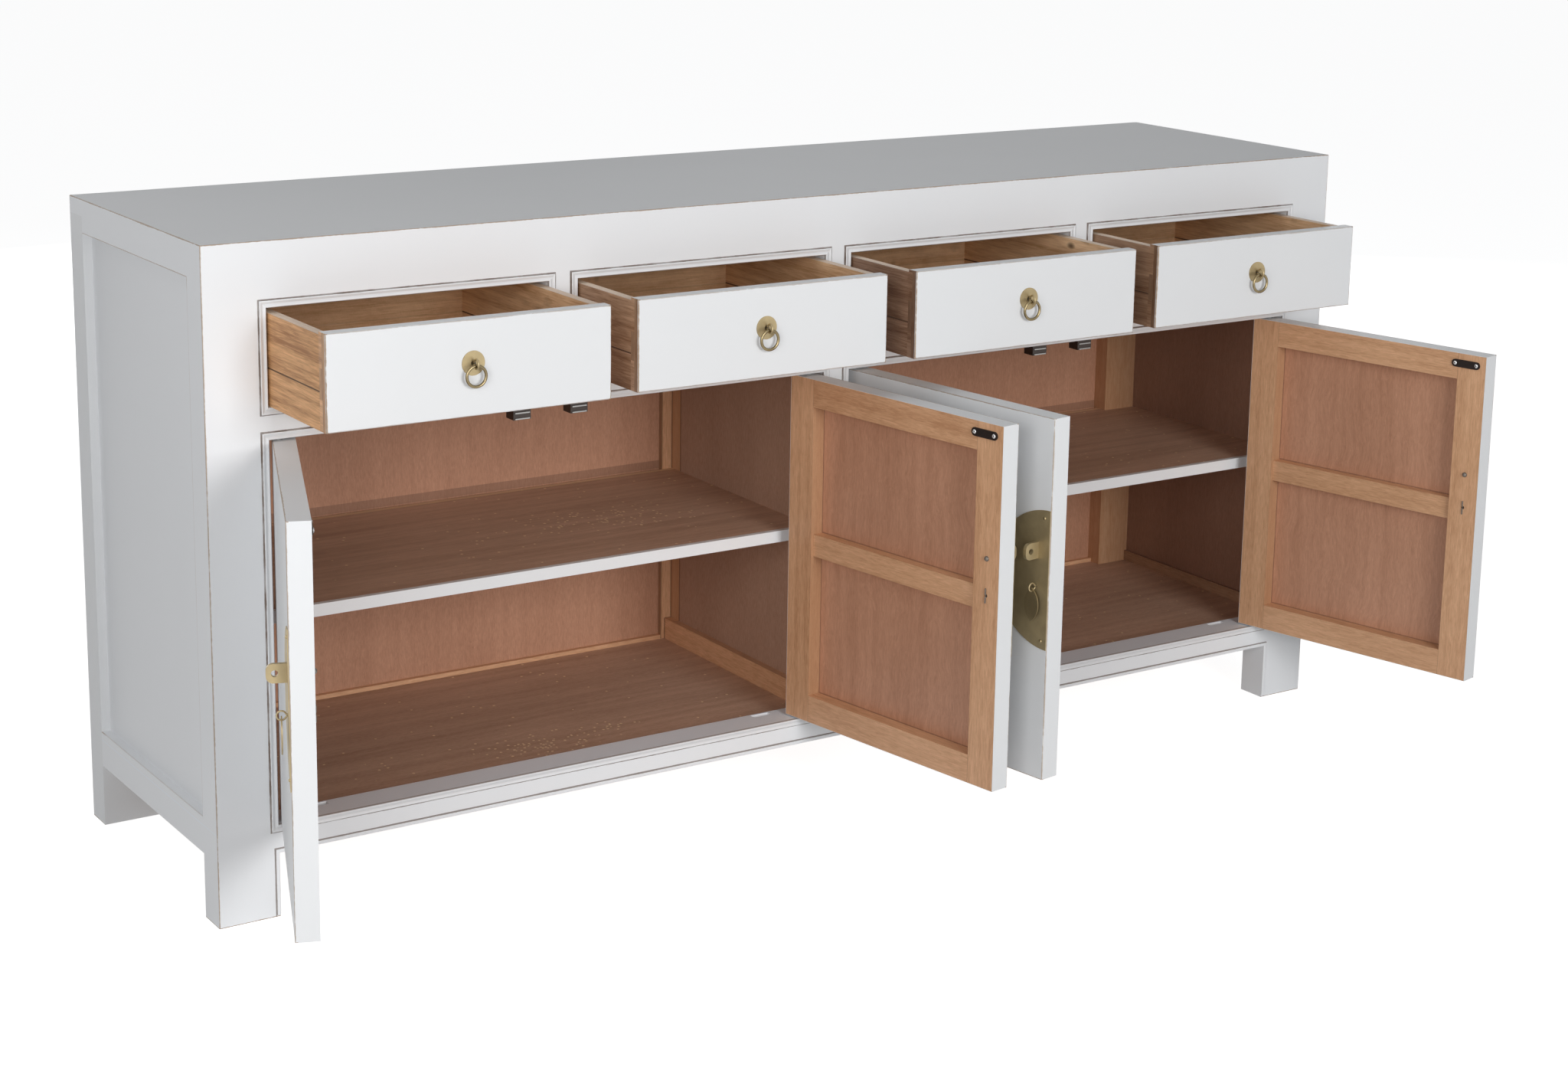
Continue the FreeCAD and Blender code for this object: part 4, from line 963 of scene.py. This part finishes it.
class SIDEBOARD_OT_drawers(bpy.types.Operator):
    """Lacquer the drawer fronts and leave their boxes in fir"""
    bl_idname = "sideboard.drawers"
    bl_label = "Drawers"

    def execute(self, context):
        sizes, colours = context.scene.sideboard_sizes, context.scene.sideboard_colours
        bottom = Finish("drawer_bottom_fir")
        # The bottoms' dark grain carries the same painted light as the insides
        colour, height = bottom.wood(bottom.coords, 0, tinted(colours.fir, BOTTOM_STAIN),
                                     tinted(colours.fir_dark, LINING_DARK_PAINTED_LIGHT), late=0.12, seed=12.0)
        bottom_finish = bottom.surface(colour, 0.6, height, depth=0.0001, strength=0.3)
        plates = brass_finish("drawer_brass", colours, 1.3, 0.42, 0.85)
        rings = brass_finish("ring_brass", colours, 0.80, 0.26)
        for number in DRAWERS:
            dress(f"drawer_{number}_front", drawer_front_finish(number, sizes, colours))
            dress(f"drawer_{number}_sides", drawer_box_finish(number, colours))
            dress(f"drawer_{number}_bottom", bottom_finish)
            dress(f"drawer_{number}_ring_plate", plates)
            dress(f"drawer_{number}_ring", rings)
        return {"FINISHED"}


class SIDEBOARD_OT_doors(bpy.types.Operator):
    """Finish the doors and their brass"""
    bl_idname = "sideboard.doors"
    bl_label = "Doors"

    def execute(self, context):
        sizes, colours = context.scene.sideboard_sizes, context.scene.sideboard_colours
        leaf = brass_finish("leaf_brass", colours, 1.1, 0.40, 0.7)
        steel = metal_finish("strike_steel", STRIKE_STEEL, 0.42, 0.6)
        pins = metal_finish("pin_steel", PIN_STEEL, 0.3)
        for number in DOORS:
            board, wood = door_finishes(number, sizes, colours)
            dress(f"door_{number}_board", board)
            dress(f"door_{number}_frame", wood)
            brass = brass_finish(f"door_{number}_brass", colours, 1.35, 0.48, 0.55, number)
            dress(f"door_{number}_lock_plate", brass)
            dress(f"door_{number}_leaf_pull", leaf)
            dress(f"door_{number}_strike_plate", steel)
            dress(f"door_{number}_pivot_pins", pins)
        return {"FINISHED"}


class SIDEBOARD_OT_fasteners(bpy.types.Operator):
    """Set the screws of the strike plates and lugs and the nails of the lock plates"""
    bl_idname = "sideboard.fasteners"
    bl_label = "Fasteners"

    def execute(self, context):
        sizes, colours = context.scene.sideboard_sizes, context.scene.sideboard_colours
        zinc = metal_finish("screw_zinc", ZINC, 0.32)
        nail = brass_finish("nail_brass", colours, 1.2, 0.3)
        screw_head = mesh_object("screw_head", head_mesh("screw_head", 1.0, 0.5, 0.28))
        nail_head = mesh_object("nail_head", head_mesh("nail_head", 1.0, 0.85, 0.0))
        for number in DOORS:
            low, high = door_box(number)
            _, turn, side = door_space(number)
            outward = Matrix.Rotation(turn, 3, "Z") @ Vector((0, -1, 0))
            inward = -outward
            screws = [(door_spot(number, high.x - STRIKE_SCREWS[0] + way * STRIKE_SPREAD, high.y + STRIKE_PLATE,
                                 high.z - STRIKE_SCREWS[1]), inward) for way in (-1, 1)]
            screws.append((door_spot(number, high.x - LUG_SCREW[0], high.y, high.z - LUG_SCREW[1]), inward))
            fasteners(f"door_{number}_screws", screw_head, zinc, screws, sizes.screw_radius, f"door_{number}")
            nails = [(door_spot(number, high.x - NAILS[0], low.y - LOCK_PLATE,
                                high.z - NAILS[1] + way * NAIL_SPREAD), outward) for way in (-1, 1)]
            fasteners(f"door_{number}_nails", nail_head, nail, nails, sizes.nail_radius, f"door_{number}")
        for head in (screw_head, nail_head):
            bpy.data.objects.remove(head)
        return {"FINISHED"}


class SIDEBOARD_PT_panel(bpy.types.Panel):
    """The sideboard's steps in the sidebar"""
    bl_label = "Sideboard"
    bl_idname = "SIDEBOARD_PT_panel"
    bl_space_type = "VIEW_3D"
    bl_region_type = "UI"
    bl_category = "Sideboard"

    def draw(self, context):
        for step in STEPS:
            self.layout.operator(step.bl_idname)


STEPS = (SIDEBOARD_OT_stage, SIDEBOARD_OT_carcass, SIDEBOARD_OT_drawers, SIDEBOARD_OT_doors,
         SIDEBOARD_OT_fasteners)
CLASSES = (SideboardSizes, SideboardColours, *STEPS, SIDEBOARD_PT_panel)


def register():
    for each in CLASSES:
        bpy.utils.register_class(each)
    bpy.types.Scene.sideboard_sizes = bpy.props.PointerProperty(type=SideboardSizes)
    bpy.types.Scene.sideboard_colours = bpy.props.PointerProperty(type=SideboardColours)


def unregister():
    del bpy.types.Scene.sideboard_colours
    del bpy.types.Scene.sideboard_sizes
    for each in reversed(CLASSES):
        bpy.utils.unregister_class(each)


def main():
    """Make the sideboard."""
    register()
    bpy.ops.sideboard.stage()
    bpy.ops.sideboard.carcass()
    bpy.ops.sideboard.drawers()
    bpy.ops.sideboard.doors()
    bpy.ops.sideboard.fasteners()


if __name__ == "__main__":
    main()
